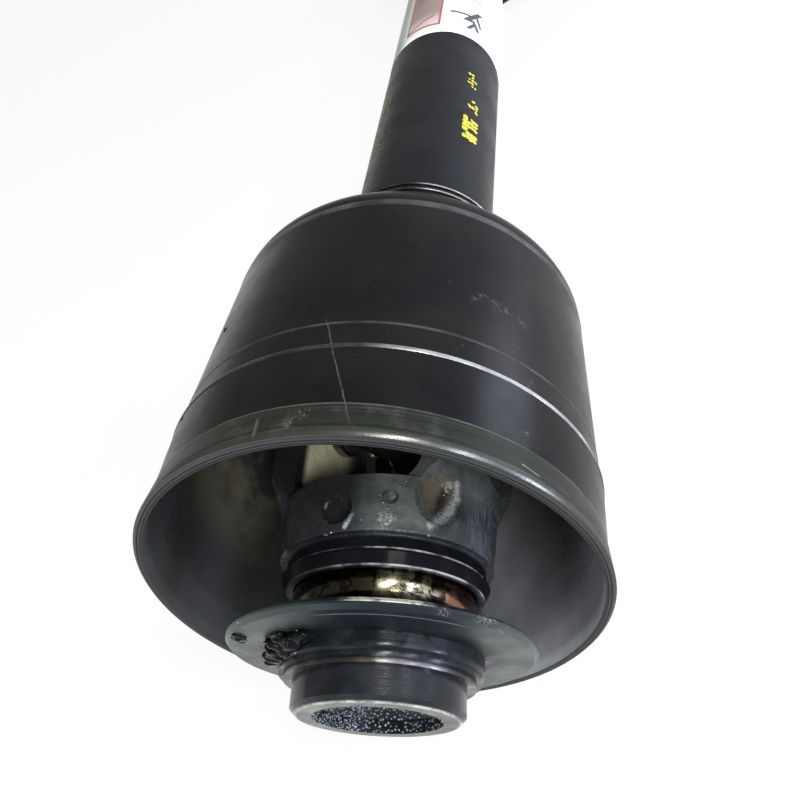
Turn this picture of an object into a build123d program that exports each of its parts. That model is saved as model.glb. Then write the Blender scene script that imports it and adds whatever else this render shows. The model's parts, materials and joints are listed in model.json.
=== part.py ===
from build123d import *
import os
from math import atan2, cos, pi, radians, sin, tan

# A cardan shaft for farm machines, lying on the floor at its shortest length.
# Two universal joints carry a splined hub at each end and are joined by two
# three-lobed tubes that slide in each other. A plastic guard, which stands still
# while the shaft turns, covers it: a bell over each joint and two round tubes.
# The origin is on the floor under the middle of the shaft. The shaft lies along
# Y, Z points up and the near end is the one towards -Y.
# Lengths are in millimetres and angles in degrees.

# Clearances
SEAT_GAP = 0.02
RUN_GAP = 0.05
BALL_GAP = 0.07
SLIDE_GAP = 0.25
FACE_GAP = 0.3
LOOSE_GAP = 0.4

# The shaft as a whole
JOINT_SPACING = 610.0
TUBE_END_CLEARANCE = 15.0

# How the joints hang at rest: the turn of the ears about the shaft, the bend
# about the shaft yoke's pins, then the bend about the hub yoke's pins
EAR_AZIMUTH = 80.45
REST_CROSS_TURN = 1.9
REST_HUB_TURN = 11.15

# Guard bell, measured from its mouth plane towards the middle of the shaft
MOUTH_R = 77.5
MOUTH_TO_JOINT = 79.0
BELL_WALL = 2.8
LIP_WALL = 3.3
LIP_CHAMFER = 0.7
RIM_LENGTH = 13.3
BARREL_R = 75.9
STEP_Z = 37.3
STEP_DROP = 0.7
LINE_Z = 49.7
LINE_R = 74.7
APEX_Z = 125.5
APEX_R = 71.9
CORNER_R = 14.0
NECK_FOOT_Z = 147.0
NECK_FOOT_RISE = 4.5
NECK_WALL = 4.7
NECK_START_Z = 151.0
NECK_END_Z = 181.0
SLEEVE_WALL = 3.4
RIB_COUNT = 3
RIB_PITCH = 4.0
RIB_WIDTH = 2.0
RIB_HEIGHT = 2.0

# Bearing ring between the guard and the shaft yoke
RING_MID = 62.0
RING_WIDTH = 7.0
RING_STOP_WALL = 2.6
RING_STOP_CLEARANCE = 2.0
RING_SPLIT = 3.5
GROOVE_DEPTH = 2.6

# Round guard tubes
GUARD_TUBE_R = 33.6
GUARD_TUBE_WALL = 2.8
LINER_WALL = 2.7

# Three-lobed drive tubes
LOBE_COUNT = 3
LOBE_AZIMUTH = 90.0
LOBE_CENTRE_R = 16.0
OUTER_LOBE_R = 8.0
DRIVE_WALL = 3.2
DRIVE_GAP = 0.3

# Shaft yokes, measured from the joint centre towards the middle of the shaft
NEAR_STEM_R = 28.0
FAR_STEM_R = 26.5
SHAFT_GAP_DEPTH = 35.0
SHAFT_BODY_R = 36.0
SHAFT_BODY_END = 45.0
SHAFT_TAPER = 8.0
SOCKET_START = 68.0
SOCKET_END = 99.0
STEM_CHAMFER = 1.5
ROLL_PIN_R = 4.0
ROLL_PIN_WALL = 1.4
ROLL_PIN_SLIT = 1.0
ROLL_PIN_Z = 84.0
ROLL_PIN_INSET = 1.0

# Ears and cross of a universal joint
EAR_OUTER = 41.0
EAR_INNER = 24.5
EAR_R = 21.0
EAR_ROUND_R = 44.0
EAR_FLARE_HALF = 29.0
EAR_TAPER = 12.0
FORK_FILLET = 10.0
CUP_R = 13.5
CUP_OUTER = 37.3
CUP_LENGTH = 16.0
CUP_FLOOR = 2.0
CLIP_THICK = 1.5
CLIP_DEPTH = 1.2
CLIP_BAND = 2.8
CLIP_OPENING = 50.0
TRUNNION_R = 8.6
SHOULDER_R = 10.6
SEAL_R = 12.6
SEAL_THICK = 2.2
CORE_R = 16.0
CORE_HALF = 10.5
NIPPLE_AZIMUTH = -45.0
NIPPLE_BOSS_R = 4.4
NIPPLE_BOSS_END = 21.0
NIPPLE_SHANK_R = 2.5
NIPPLE_SHANK = 4.0
NIPPLE_HEX_R = 4.0
NIPPLE_HEX = 3.5
NIPPLE_NECK_R = 1.8
NIPPLE_NECK = 2.0
NIPPLE_HEAD_R = 2.8
NIPPLE_HEAD = 2.5

# Hub yoke, measured from the joint centre along the hub's own axis
HUB_GAP_DEPTH = 46.0
BODY_TOP_R = 38.6
BODY_END = 64.8
BODY_R = 37.0
UNDERCUT_R = 34.4
UNDERCUT_LENGTH = 5.2
LIP_R = 35.8
LIP_LEAD = 0.8
LIP_LENGTH = 4.9
LIP_END_R = 33.7
NOSE_R = 28.2
NOSE_SHOWN = 10.4
NOSE_CHAMFER = 2.0
BORE_MOUTH_R = 21.1
BORE_RECESS = 4.5
SPLINE_COUNT = 6
SPLINE_MINOR_R = 14.9
SPLINE_MAJOR_R = 17.45
SPLINE_GROOVE = 8.7
DIMPLE_R = 5.6
DIMPLE_DEPTH = 4.0
DIMPLE_L = 56.5
SCOOP_R = 13.0
SCOOP_DEPTH = 3.4
SCOOP_L = 52.0
SCOOP_SPREAD = 38.0
PIP_R = 2.6
PIP_DEPTH = 2.0
PIP_L = 53.5
PIP_AZIMUTH = 63.0

# Locking collar, its balls and its spring, set out from the end of the hub's lip
COVER_SHOWN = 11.1
COLLAR_LENGTH = 14.2
COLLAR_R = 34.0
COLLAR_CHAMFER = 0.8
DISC_R = 51.2
DISC_FROM_START = 6.2
DISC_RIM_THICK = 3.6
DISC_ROOT_THICK = 5.4
DISC_RIM_ROUND = 1.4
COLLAR_TRAVEL = 9.0
BALL_COUNT = 3
BALL_AZIMUTH = 30.0
BALL_R = 6.65
BALL_TIP_R = 15.05
BALL_FROM_START = 7.0
BALL_SEAT_R = 5.3
BALL_SEAT_DEPTH = 17.6
RAMP_BEFORE_BALL = 1.0
RAMP_SLOPE = 0.35
SPRING_WIRE = 1.9
SPRING_TURNS = 5
SPRING_STEPS = 24
COVER_WALL = 0.6
COVER_LAP = 2.3
COVER_INSERT = 0.9
WASHER_R = 33.0
WASHER_THICK = 1.5
RETAIN_R = 31.2
RETAIN_THICK = 1.7
RETAIN_DEPTH = 1.2
RETAIN_OPENING = 35.0

# Places that follow from the sizes above
AXIS_HEIGHT = MOUTH_R
CUP_INNER = CUP_OUTER - CUP_LENGTH
SHOULDER_END = CUP_INNER - FACE_GAP - SEAL_THICK
TRUNNION_END = CUP_OUTER - CUP_FLOOR - FACE_GAP
LINER_R = GUARD_TUBE_R - GUARD_TUBE_WALL - LOOSE_GAP
INNER_LOBE_R = OUTER_LOBE_R - DRIVE_WALL - DRIVE_GAP
LIP_START = BODY_END + UNDERCUT_LENGTH
LIP_END = LIP_START + LIP_LENGTH
COLLAR_START = LIP_END + COVER_SHOWN
COLLAR_END = COLLAR_START + COLLAR_LENGTH
DISC_L = COLLAR_START + DISC_FROM_START
BALL_L = COLLAR_START + BALL_FROM_START
COVER_R = NOSE_R + SLIDE_GAP + SPRING_WIRE + SLIDE_GAP + COVER_WALL
COVER_START = LIP_END - COVER_INSERT
POCKET_START = COVER_START - COLLAR_TRAVEL - FACE_GAP
POCKET_R = COVER_R + FACE_GAP
LAND_R = NOSE_R + SLIDE_GAP
LAND_START = COLLAR_START + COVER_LAP
RAMP_START = BALL_L - RAMP_BEFORE_BALL
BALL_CENTRE_R = BALL_TIP_R + BALL_R
WASHER_START = COLLAR_END + SEAT_GAP
RETAIN_START = WASHER_START + WASHER_THICK + SEAT_GAP
RETAIN_END = RETAIN_START + RETAIN_THICK
NOSE_END = RETAIN_END + NOSE_SHOWN
GUARD_TUBE_START = RING_MID + RING_WIDTH / 2 + FACE_GAP
STEM_END_Y = JOINT_SPACING / 2 - SOCKET_END
NECK_END_Y = JOINT_SPACING / 2 + MOUTH_TO_JOINT - NECK_END_Z


def turned(points):
    """A solid turned about Z from its half section, given as (radius, height)."""
    section = make_face(Polyline(*[(r, 0, z) for r, z in points], close=True))
    return revolve(section, Axis.Z)


def ring(outer_r, inner_r, start, end):
    """A plain tube or ring about Z."""
    return turned([(inner_r, start), (outer_r, start), (outer_r, end), (inner_r, end)])


def rod(radius, start, end):
    """A plain rod about Z from one height to another."""
    return Pos(0, 0, (start + end) / 2) * Cylinder(radius, end - start)


def along_x(shape):
    """Lays a shape that stands on Z along +X."""
    return Rot(0, 90, 0) * shape


def wedge(opening, radius, start, end):
    """The sector about +X that is cut out of a ring to open it."""
    half = radians(opening / 2)
    far = radius / cos(half)
    corners = [(0, 0), (far * cos(half), -far * sin(half)), (far * cos(half), far * sin(half))]
    sector = make_face(Polyline(*corners, close=True))
    return Pos(0, 0, start) * extrude(sector, end - start)


def lobed_section(lobe_r):
    """The rounded triangle of the drive tubes, with lobes of one radius."""
    reach = LOBE_CENTRE_R + lobe_r / sin(pi / 2 - pi / LOBE_COUNT)
    corners = RegularPolygon(reach, LOBE_COUNT)
    return fillet(corners.vertices(), lobe_r)


def lobed_rod(side, lobe_r, start, end):
    """A solid bar with the drive tubes' section, turned the same way at both ends."""
    turn = LOBE_AZIMUTH - ear_azimuth(side)
    return Pos(0, 0, start) * Rot(0, 0, turn) * extrude(lobed_section(lobe_r), end - start)


def ear_azimuth(side):
    """The turn of the shaft yoke's pins, in line with each other at both ends."""
    return EAR_AZIMUTH if side > 0 else 180 - EAR_AZIMUTH


def joint_frame(side):
    """The joint centre of one end, with Z towards the middle of the shaft."""
    origin = (0, -side * JOINT_SPACING / 2, AXIS_HEIGHT)
    return Location(Plane(origin=origin, x_dir=(side, 0, 0), z_dir=(0, side, 0)))


def ear_frame(side):
    """The joint frame turned so that X runs through the shaft yoke's pins."""
    return joint_frame(side) * Rot(0, 0, ear_azimuth(side))


def cross_frame(side):
    """The cross at rest: X through the shaft yoke's pins, Y through the hub yoke's."""
    return ear_frame(side) * Rot(180, 0, 0) * Rot(side * REST_CROSS_TURN, 0, 0)


def hub_frame(side):
    """The hub at rest: Z outwards along the hub, X through its own pins."""
    return cross_frame(side) * Rot(0, REST_HUB_TURN, 0) * Rot(0, 0, 90)


def bell_outline(tube_r, neck_r):
    """The outer line of a bell from its mouth up to the end of its neck."""
    points = [
        (MOUTH_R - LIP_CHAMFER, 0),
        (MOUTH_R, LIP_CHAMFER),
        (BARREL_R, RIM_LENGTH),
        (BARREL_R, STEP_Z),
        (BARREL_R - STEP_DROP, STEP_Z + STEP_DROP),
        (LINE_R, LINE_Z),
        (APEX_R, APEX_Z),
        (neck_r + NECK_FOOT_RISE, NECK_FOOT_Z),
        (neck_r, NECK_START_Z),
    ]
    for number in range(RIB_COUNT, 0, -1):
        low = NECK_END_Z - number * RIB_PITCH + RIB_PITCH - RIB_WIDTH
        points += [(neck_r, low), (neck_r + RIB_HEIGHT, low)]
        points += [(neck_r + RIB_HEIGHT, low + RIB_WIDTH)]
        if number > 1:
            points += [(neck_r, low + RIB_WIDTH)]
    return points + [(tube_r + SEAT_GAP, NECK_END_Z)]


def bell_lining(tube_r, stem_r, neck_r):
    """The inner line of a bell from the neck's bore back down to its mouth."""
    bore_r = tube_r + SEAT_GAP
    stop_top = MOUTH_TO_JOINT + RING_MID - RING_WIDTH / 2
    stop_foot = stop_top - RING_STOP_WALL
    sleeve_r = bore_r + SLEEVE_WALL
    crown_run = APEX_R - neck_r - NECK_FOOT_RISE
    crown_rise = NECK_FOOT_Z - APEX_Z
    turn = atan2(crown_run, crown_rise)
    apex_r = APEX_R - BELL_WALL
    apex_z = APEX_Z - BELL_WALL * tan(turn / 2)
    return [
        (bore_r, stop_top),
        (stem_r + RING_STOP_CLEARANCE, stop_top),
        (stem_r + RING_STOP_CLEARANCE, stop_foot),
        (sleeve_r, stop_foot),
        (sleeve_r, apex_z + (apex_r - sleeve_r) * crown_rise / crown_run),
        (apex_r, apex_z),
        (LINE_R - BELL_WALL, LINE_Z),
        (BARREL_R - BELL_WALL, RIM_LENGTH),
        (MOUTH_R - LIP_WALL, 0),
    ]


def guard_bell(tube_r, stem_r):
    """The moulded bell that covers a joint and holds the end of a guard tube."""
    neck_r = tube_r + NECK_WALL
    points = bell_outline(tube_r, neck_r) + bell_lining(tube_r, stem_r, neck_r)
    section = make_face(Polyline(*[(r, 0, z) for r, z in points], close=True))
    apexes = section.vertices().filter_by(lambda v: v.X > APEX_R - BELL_WALL - 1)
    apexes = apexes.filter_by(lambda v: v.Z > LINE_Z + 1).sort_by(Axis.X)
    section = fillet(apexes[-1:], CORNER_R)
    apexes = section.vertices().filter_by(lambda v: abs(v.X - APEX_R + BELL_WALL) < 0.01)
    section = fillet(apexes.filter_by(lambda v: v.Z > LINE_Z + 1), CORNER_R - BELL_WALL)
    return Pos(0, 0, -MOUTH_TO_JOINT) * revolve(section, Axis.Z)


def bearing_ring(tube_r, stem_r):
    """The split plastic ring on which the guard turns."""
    start = RING_MID - RING_WIDTH / 2
    end = RING_MID + RING_WIDTH / 2
    band = ring(tube_r - SEAT_GAP, stem_r - GROOVE_DEPTH + RUN_GAP, start, end)
    slit = Pos(tube_r / 2, 0, RING_MID) * Box(tube_r, RING_SPLIT, 2 * RING_WIDTH)
    return band - slit


def guard_tube():
    """The outer guard tube, fixed in the near bell."""
    end = JOINT_SPACING / 2 + NECK_END_Y - TUBE_END_CLEARANCE
    return ring(GUARD_TUBE_R, GUARD_TUBE_R - GUARD_TUBE_WALL, GUARD_TUBE_START, end)


def guard_liner():
    """The inner guard tube, fixed in the far bell and sliding in the outer one."""
    end = JOINT_SPACING / 2 + STEM_END_Y - TUBE_END_CLEARANCE
    return ring(LINER_R, LINER_R - LINER_WALL, GUARD_TUBE_START, end)


def roll_pin_hole():
    """The cross hole for the roll pin through a yoke and its tube."""
    return Pos(0, 0, ROLL_PIN_Z) * along_x(Cylinder(ROLL_PIN_R, 4 * NEAR_STEM_R))


def drive_tube(side, lobe_r):
    """One of the two three-lobed tubes that carry the torque."""
    start = SOCKET_START + SEAT_GAP
    end = JOINT_SPACING / 2 + STEM_END_Y - TUBE_END_CLEARANCE
    bore = lobed_rod(side, lobe_r - DRIVE_WALL, start, end)
    return lobed_rod(side, lobe_r, start, end) - bore - roll_pin_hole()


def roll_pin(stem_r):
    """The slit spring pin that holds a drive tube in its yoke."""
    half = stem_r - ROLL_PIN_INSET
    sleeve = ring(ROLL_PIN_R - SEAT_GAP, ROLL_PIN_R - ROLL_PIN_WALL, -half, half)
    slit = Pos(ROLL_PIN_R, 0, 0) * Box(2 * ROLL_PIN_R, ROLL_PIN_SLIT, 2 * half)
    return Pos(0, 0, ROLL_PIN_Z) * along_x(sleeve - slit)


def fork(body, gap_depth, body_r):
    """Adds two ears along X to a turned body and bores them for the cups."""
    cheek = Circle(EAR_R) + make_face(Polyline(
        (-EAR_R, 0), (-EAR_FLARE_HALF, gap_depth), (EAR_FLARE_HALF, gap_depth), (EAR_R, 0), close=True
    ))
    foot = Pos(0, gap_depth + FACE_GAP) * Rectangle(2 * EAR_FLARE_HALF, 4 * FACE_GAP)
    slab = extrude(Plane.YZ * (cheek + foot), EAR_OUTER, both=True)
    slab &= turned([
        (0, -EAR_ROUND_R),
        (EAR_ROUND_R, -EAR_ROUND_R),
        (EAR_ROUND_R, gap_depth - EAR_TAPER),
        (body_r, gap_depth + 2 * FACE_GAP),
        (0, gap_depth + 2 * FACE_GAP),
    ])
    mouth = Pos(0, (gap_depth - EAR_ROUND_R) / 2) * Rectangle(2 * EAR_INNER, gap_depth + EAR_ROUND_R)
    mouth = fillet(mouth.vertices().sort_by(Axis.Y)[-2:], FORK_FILLET)
    yoke = body + slab - extrude(Plane.XZ * mouth, 2 * EAR_ROUND_R, both=True)
    yoke -= along_x(rod(CUP_R + SEAT_GAP, -2 * EAR_OUTER, 2 * EAR_OUTER))
    clip_end = CUP_OUTER + CLIP_THICK + 2 * SEAT_GAP
    for sign in (-1, 1):
        groove = ring(CUP_R + CLIP_DEPTH, CUP_R - CLIP_DEPTH, CUP_OUTER, clip_end)
        yoke -= Rot(0, 90 * sign, 0) * groove
    return yoke


def shaft_yoke(side, stem_r, lobe_r):
    """The yoke at the end of a drive tube, with its ears along X."""
    groove_half = RING_WIDTH / 2 + LOOSE_GAP / 2
    body = turned([
        (0, SHAFT_GAP_DEPTH),
        (SHAFT_BODY_R, SHAFT_GAP_DEPTH),
        (SHAFT_BODY_R, SHAFT_BODY_END),
        (stem_r, SHAFT_BODY_END + SHAFT_TAPER),
        (stem_r, RING_MID - groove_half),
        (stem_r - GROOVE_DEPTH, RING_MID - groove_half),
        (stem_r - GROOVE_DEPTH, RING_MID + groove_half),
        (stem_r, RING_MID + groove_half),
        (stem_r, SOCKET_END - STEM_CHAMFER),
        (stem_r - STEM_CHAMFER, SOCKET_END),
        (0, SOCKET_END),
    ])
    yoke = fork(body, SHAFT_GAP_DEPTH, SHAFT_BODY_R)
    socket = lobed_rod(side, lobe_r + SEAT_GAP, SOCKET_START, SOCKET_END)
    return yoke - socket - roll_pin_hole()


def spline_tool():
    """The broached bore of the hub: six straight grooves round a plain hole."""
    reach = NOSE_END + 2 * NOSE_CHAMFER
    grooves = rod(SPLINE_MAJOR_R, 0, reach)
    spokes = Part()
    for number in range(SPLINE_COUNT):
        slot = Pos(SPLINE_MAJOR_R / 2, 0, reach / 2) * Box(SPLINE_MAJOR_R + 2, SPLINE_GROOVE, reach)
        spokes += Rot(0, 0, 360 / SPLINE_COUNT * number) * slot
    return (grooves & spokes) + rod(SPLINE_MINOR_R, 0, reach)


def at_ball(number, shape):
    """Turns a shape that stands on Z so that it points outwards through one ball."""
    turn = BALL_AZIMUTH + 360 / BALL_COUNT * number
    return Pos(0, 0, BALL_L) * Rot(0, 0, turn) * along_x(shape)


def hub_body():
    """The turned outside of the hub, with its lip, nose and circlip groove."""
    groove_start = RETAIN_START - SEAT_GAP
    groove_end = RETAIN_END + SEAT_GAP
    return turned([
        (0, HUB_GAP_DEPTH),
        (BODY_TOP_R, HUB_GAP_DEPTH),
        (BODY_R, BODY_END),
        (UNDERCUT_R, BODY_END),
        (UNDERCUT_R, LIP_START),
        (LIP_R, LIP_START + LIP_LEAD),
        (LIP_END_R, LIP_END),
        (POCKET_R, LIP_END),
        (POCKET_R, POCKET_START),
        (NOSE_R, POCKET_START),
        (NOSE_R, groove_start),
        (NOSE_R - RETAIN_DEPTH, groove_start),
        (NOSE_R - RETAIN_DEPTH, groove_end),
        (NOSE_R, groove_end),
        (NOSE_R, NOSE_END - NOSE_CHAMFER),
        (NOSE_R - NOSE_CHAMFER, NOSE_END),
        (0, NOSE_END),
    ])


def forging_hollows():
    """The round dimples, ear scoops and small pip in the hub's forged body."""
    hollows = Part()
    for side in (-1, 1):
        dimple = rod(DIMPLE_R, BODY_R - DIMPLE_DEPTH, 2 * BODY_R)
        hollows += Pos(0, 0, DIMPLE_L) * Rot(-90 * side, 0, 0) * dimple
        for lean in (-SCOOP_SPREAD, SCOOP_SPREAD):
            turn = lean + (90 - 90 * side)
            reach = BODY_R + SCOOP_R - SCOOP_DEPTH
            hollows += Pos(0, 0, SCOOP_L) * Rot(0, 0, turn) * Pos(reach, 0, 0) * Sphere(SCOOP_R)
    pip = along_x(rod(PIP_R, BODY_R - PIP_DEPTH, 2 * BODY_R))
    return hollows + Pos(0, 0, PIP_L) * Rot(0, 0, PIP_AZIMUTH) * pip


def hub_yoke():
    """The splined hub with its two ears, forged in one piece."""
    yoke = fork(hub_body(), HUB_GAP_DEPTH, BODY_TOP_R)
    yoke -= spline_tool()
    lead_end = NOSE_END - BORE_RECESS
    lead_start = lead_end - (BORE_MOUTH_R - SPLINE_MINOR_R)
    yoke -= turned([
        (0, lead_start),
        (SPLINE_MINOR_R, lead_start),
        (BORE_MOUTH_R, lead_end),
        (BORE_MOUTH_R, NOSE_END + 1),
        (0, NOSE_END + 1),
    ])
    yoke -= forging_hollows()
    for number in range(BALL_COUNT):
        hole = rod(BALL_R + BALL_GAP, BALL_SEAT_DEPTH, 2 * NOSE_R) + rod(BALL_SEAT_R, 0, 2 * NOSE_R)
        yoke -= at_ball(number, hole)
    return yoke


def lock_ball(number):
    """One of the balls that lock the hub on a splined shaft."""
    return at_ball(number, Pos(0, 0, BALL_CENTRE_R) * Sphere(BALL_R))


def lock_collar():
    """The sliding collar with the disc that is gripped to unlock the hub."""
    ramp_end_r = LAND_R + RAMP_SLOPE * (COLLAR_END - RAMP_START)
    rim = DISC_RIM_THICK / 2
    root = DISC_ROOT_THICK / 2
    return turned([
        (COVER_R + SEAT_GAP, COLLAR_START),
        (COLLAR_R - COLLAR_CHAMFER, COLLAR_START),
        (COLLAR_R, COLLAR_START + COLLAR_CHAMFER),
        (COLLAR_R, DISC_L - root),
        (DISC_R - DISC_RIM_ROUND, DISC_L - rim),
        (DISC_R, DISC_L - rim + DISC_RIM_ROUND),
        (DISC_R, DISC_L + rim - DISC_RIM_ROUND),
        (DISC_R - DISC_RIM_ROUND, DISC_L + rim),
        (COLLAR_R, DISC_L + root),
        (COLLAR_R, COLLAR_END - COLLAR_CHAMFER),
        (COLLAR_R - COLLAR_CHAMFER, COLLAR_END),
        (ramp_end_r, COLLAR_END),
        (LAND_R, RAMP_START),
        (LAND_R, LAND_START),
        (COVER_R + SEAT_GAP, LAND_START),
    ])


def spring_cover():
    """The thin plated sleeve that travels with the collar and hides its spring."""
    return ring(COVER_R, COVER_R - COVER_WALL, COVER_START, LAND_START - SEAT_GAP)


def collar_spring():
    """The coil spring that holds the collar against its washer."""
    start = POCKET_START + SEAT_GAP + SPRING_WIRE / 2
    end = LAND_START - SEAT_GAP - SPRING_WIRE / 2
    coil_r = (NOSE_R + SLIDE_GAP + SPRING_WIRE / 2) * (1 + 1 / cos(pi / SPRING_STEPS)) / 2
    count = SPRING_TURNS * SPRING_STEPS
    points = []
    for step in range(count + 1):
        angle = 2 * pi * step / SPRING_STEPS
        height = start + (end - start) * step / count
        points.append((coil_r * cos(angle), coil_r * sin(angle), height))
    path = Polyline(*points)
    section = Plane(path @ 0, z_dir=path % 0) * RegularPolygon(SPRING_WIRE / 2, 6)
    return sweep(section, path, transition=Transition.RIGHT)


def collar_washer():
    """The washer that stops the collar."""
    return ring(WASHER_R, NOSE_R + RUN_GAP, WASHER_START, WASHER_START + WASHER_THICK)


def collar_circlip():
    """The circlip in the hub's groove that holds the washer."""
    band = ring(RETAIN_R, NOSE_R - RETAIN_DEPTH + SEAT_GAP, RETAIN_START, RETAIN_END)
    opening = wedge(RETAIN_OPENING, 2 * RETAIN_R, RETAIN_START - 1, RETAIN_END + 1)
    return band - Rot(0, 0, -90) * opening


def cross():
    """The cross, with a pair of trunnions along X and a pair along Y."""
    body = Cylinder(CORE_R, 2 * CORE_HALF)
    for turn in (0, 90, 180, 270):
        arm = rod(SHOULDER_R, 0, SHOULDER_END) + rod(TRUNNION_R, 0, TRUNNION_END)
        body += Rot(0, 0, turn) * along_x(arm)
    body += Rot(0, 0, NIPPLE_AZIMUTH) * along_x(rod(NIPPLE_BOSS_R, 0, NIPPLE_BOSS_END))
    shank = rod(NIPPLE_SHANK_R + SEAT_GAP, NIPPLE_BOSS_END - NIPPLE_SHANK - SEAT_GAP, NIPPLE_BOSS_END)
    return body - Rot(0, 0, NIPPLE_AZIMUTH) * along_x(shank)


def grease_nipple():
    """The nipple through which the cross is greased."""
    hex_start = NIPPLE_BOSS_END + SEAT_GAP
    hex_end = hex_start + NIPPLE_HEX
    neck_end = hex_end + NIPPLE_NECK
    shank = rod(NIPPLE_SHANK_R, NIPPLE_BOSS_END - NIPPLE_SHANK, hex_end)
    base = Pos(0, 0, hex_start) * extrude(RegularPolygon(NIPPLE_HEX_R, 6), NIPPLE_HEX)
    top = turned([
        (0, hex_end),
        (NIPPLE_NECK_R, hex_end),
        (NIPPLE_NECK_R, neck_end),
        (NIPPLE_HEAD_R, neck_end + NIPPLE_HEAD / 4),
        (NIPPLE_NECK_R, neck_end + NIPPLE_HEAD),
        (0, neck_end + NIPPLE_HEAD),
    ])
    return Rot(0, 0, NIPPLE_AZIMUTH) * along_x(shank + base + top)


def bearing_cup():
    """A needle cup with its needles, standing on Z as far out as it sits."""
    inside_end = CUP_OUTER - CUP_FLOOR
    return turned([
        (TRUNNION_R + RUN_GAP, CUP_INNER),
        (CUP_R, CUP_INNER),
        (CUP_R, CUP_OUTER),
        (0, CUP_OUTER),
        (0, inside_end),
        (TRUNNION_R + RUN_GAP, inside_end),
    ])


def cup_clip():
    """The circlip that holds a cup in its ear."""
    start = CUP_OUTER + SEAT_GAP
    end = start + CLIP_THICK
    outer_r = CUP_R + CLIP_DEPTH - SEAT_GAP
    opening = wedge(CLIP_OPENING, 2 * CUP_R, start - 1, end + 1)
    return ring(outer_r, outer_r - CLIP_BAND, start, end) - opening


def trunnion_seal():
    """The rubber seal between a trunnion's shoulder and its cup."""
    start = SHOULDER_END + SEAT_GAP
    return ring(SEAL_R, TRUNNION_R + SEAT_GAP, start, SHOULDER_END + SEAL_THICK)


def both_ways(shape, turn):
    """A pair of pieces on one pin axis, turned from X about the joint's third axis."""
    return [Rot(0, 0, turn + side) * along_x(shape) for side in (0, 180)]


def save(name, frame, *shapes):
    """Writes a node's solids, placed in their frame."""
    solids = [frame * solid for shape in shapes for solid in shape.solids()]
    export_step(Compound(children=solids), "parts/" + name + ".step")


def save_joint(name, side):
    """Writes the cross of one end and what is fitted to it."""
    frame = cross_frame(side)
    save(name + "_cross", frame, cross())
    save(name + "_grease_nipple", frame, grease_nipple())
    seals = both_ways(trunnion_seal(), 0) + both_ways(trunnion_seal(), 90)
    save(name + "_trunnion_seals", frame, *seals)


def save_hub(name, side):
    """Writes the hub of one end with its cups, collar and balls."""
    frame = hub_frame(side)
    save(name + "_hub_yoke", frame, hub_yoke())
    save(name + "_hub_cups", frame, *both_ways(bearing_cup(), 0))
    save(name + "_hub_cup_clips", frame, *both_ways(cup_clip(), 0))
    save(name + "_lock_collar", frame, lock_collar())
    save(name + "_spring_cover", frame, spring_cover())
    save(name + "_collar_spring", frame, collar_spring())
    save(name + "_collar_washer", frame, collar_washer())
    save(name + "_collar_circlip", frame, collar_circlip())
    for number in range(BALL_COUNT):
        save(name + "_lock_ball_" + str(number + 1), frame, lock_ball(number))


def save_shaft_end(name, side, stem_r, lobe_r, tube_r):
    """Writes the shaft yoke of one end with its tube, pin, cups and guard."""
    frame = ear_frame(side)
    save(name + "_shaft_yoke", frame, shaft_yoke(side, stem_r, lobe_r))
    save(name + "_drive_tube", frame, drive_tube(side, lobe_r))
    save(name + "_roll_pin", frame, roll_pin(stem_r))
    save(name + "_shaft_cups", frame, *both_ways(bearing_cup(), 0))
    save(name + "_shaft_cup_clips", frame, *both_ways(cup_clip(), 0))
    save(name + "_guard_bell", frame, guard_bell(tube_r, stem_r))
    save(name + "_bearing_ring", frame, bearing_ring(tube_r, stem_r))


def main():
    """Writes every piece of the shaft."""
    os.makedirs("parts", exist_ok=True)
    save_shaft_end("near", 1, NEAR_STEM_R, OUTER_LOBE_R, GUARD_TUBE_R)
    save_shaft_end("far", -1, FAR_STEM_R, INNER_LOBE_R, LINER_R)
    save("near_guard_tube", joint_frame(1), guard_tube())
    save("far_guard_tube", joint_frame(-1), guard_liner())
    for name, side in (("near", 1), ("far", -1)):
        save_joint(name, side)
        save_hub(name, side)


main()
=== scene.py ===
# %% [markdown]
# A farm drive shaft in its black plastic guard, lying on a pale floor.
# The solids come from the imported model, already in place and in metres. This
# lesson only dresses them: it lights the shaft, gives each surface its finish,
# and adds the paper label, the ink, the fine rings of the bells, grease, burrs and oil.

import json
import math

import bmesh
import bpy
from mathutils import Matrix, Vector, noise


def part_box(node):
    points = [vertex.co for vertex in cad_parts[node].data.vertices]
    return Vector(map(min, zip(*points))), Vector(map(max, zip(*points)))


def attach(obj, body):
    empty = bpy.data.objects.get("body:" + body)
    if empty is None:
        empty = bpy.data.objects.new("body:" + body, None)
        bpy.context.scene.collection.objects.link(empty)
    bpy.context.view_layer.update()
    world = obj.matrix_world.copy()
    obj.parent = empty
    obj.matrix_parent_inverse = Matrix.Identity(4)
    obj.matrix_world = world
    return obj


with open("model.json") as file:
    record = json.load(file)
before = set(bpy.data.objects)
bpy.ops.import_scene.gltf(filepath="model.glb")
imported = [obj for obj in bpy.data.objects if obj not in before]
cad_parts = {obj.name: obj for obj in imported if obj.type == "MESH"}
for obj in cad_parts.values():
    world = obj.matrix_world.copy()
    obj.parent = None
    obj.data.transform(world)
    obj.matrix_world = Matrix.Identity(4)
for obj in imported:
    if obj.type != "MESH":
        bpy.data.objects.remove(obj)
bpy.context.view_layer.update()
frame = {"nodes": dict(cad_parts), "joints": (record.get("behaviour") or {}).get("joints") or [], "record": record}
nodes = frame["nodes"]

# %% [markdown]
# Nearly everything here is placed by how far it lies from the mouth of a bell and
# how far round the shaft it is. Both ends are mirror images, so one set of numbers
# serves the two of them. The shaft's axis and the mouth plane are measured from
# the model itself, so they stay right if a size changes.

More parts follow.
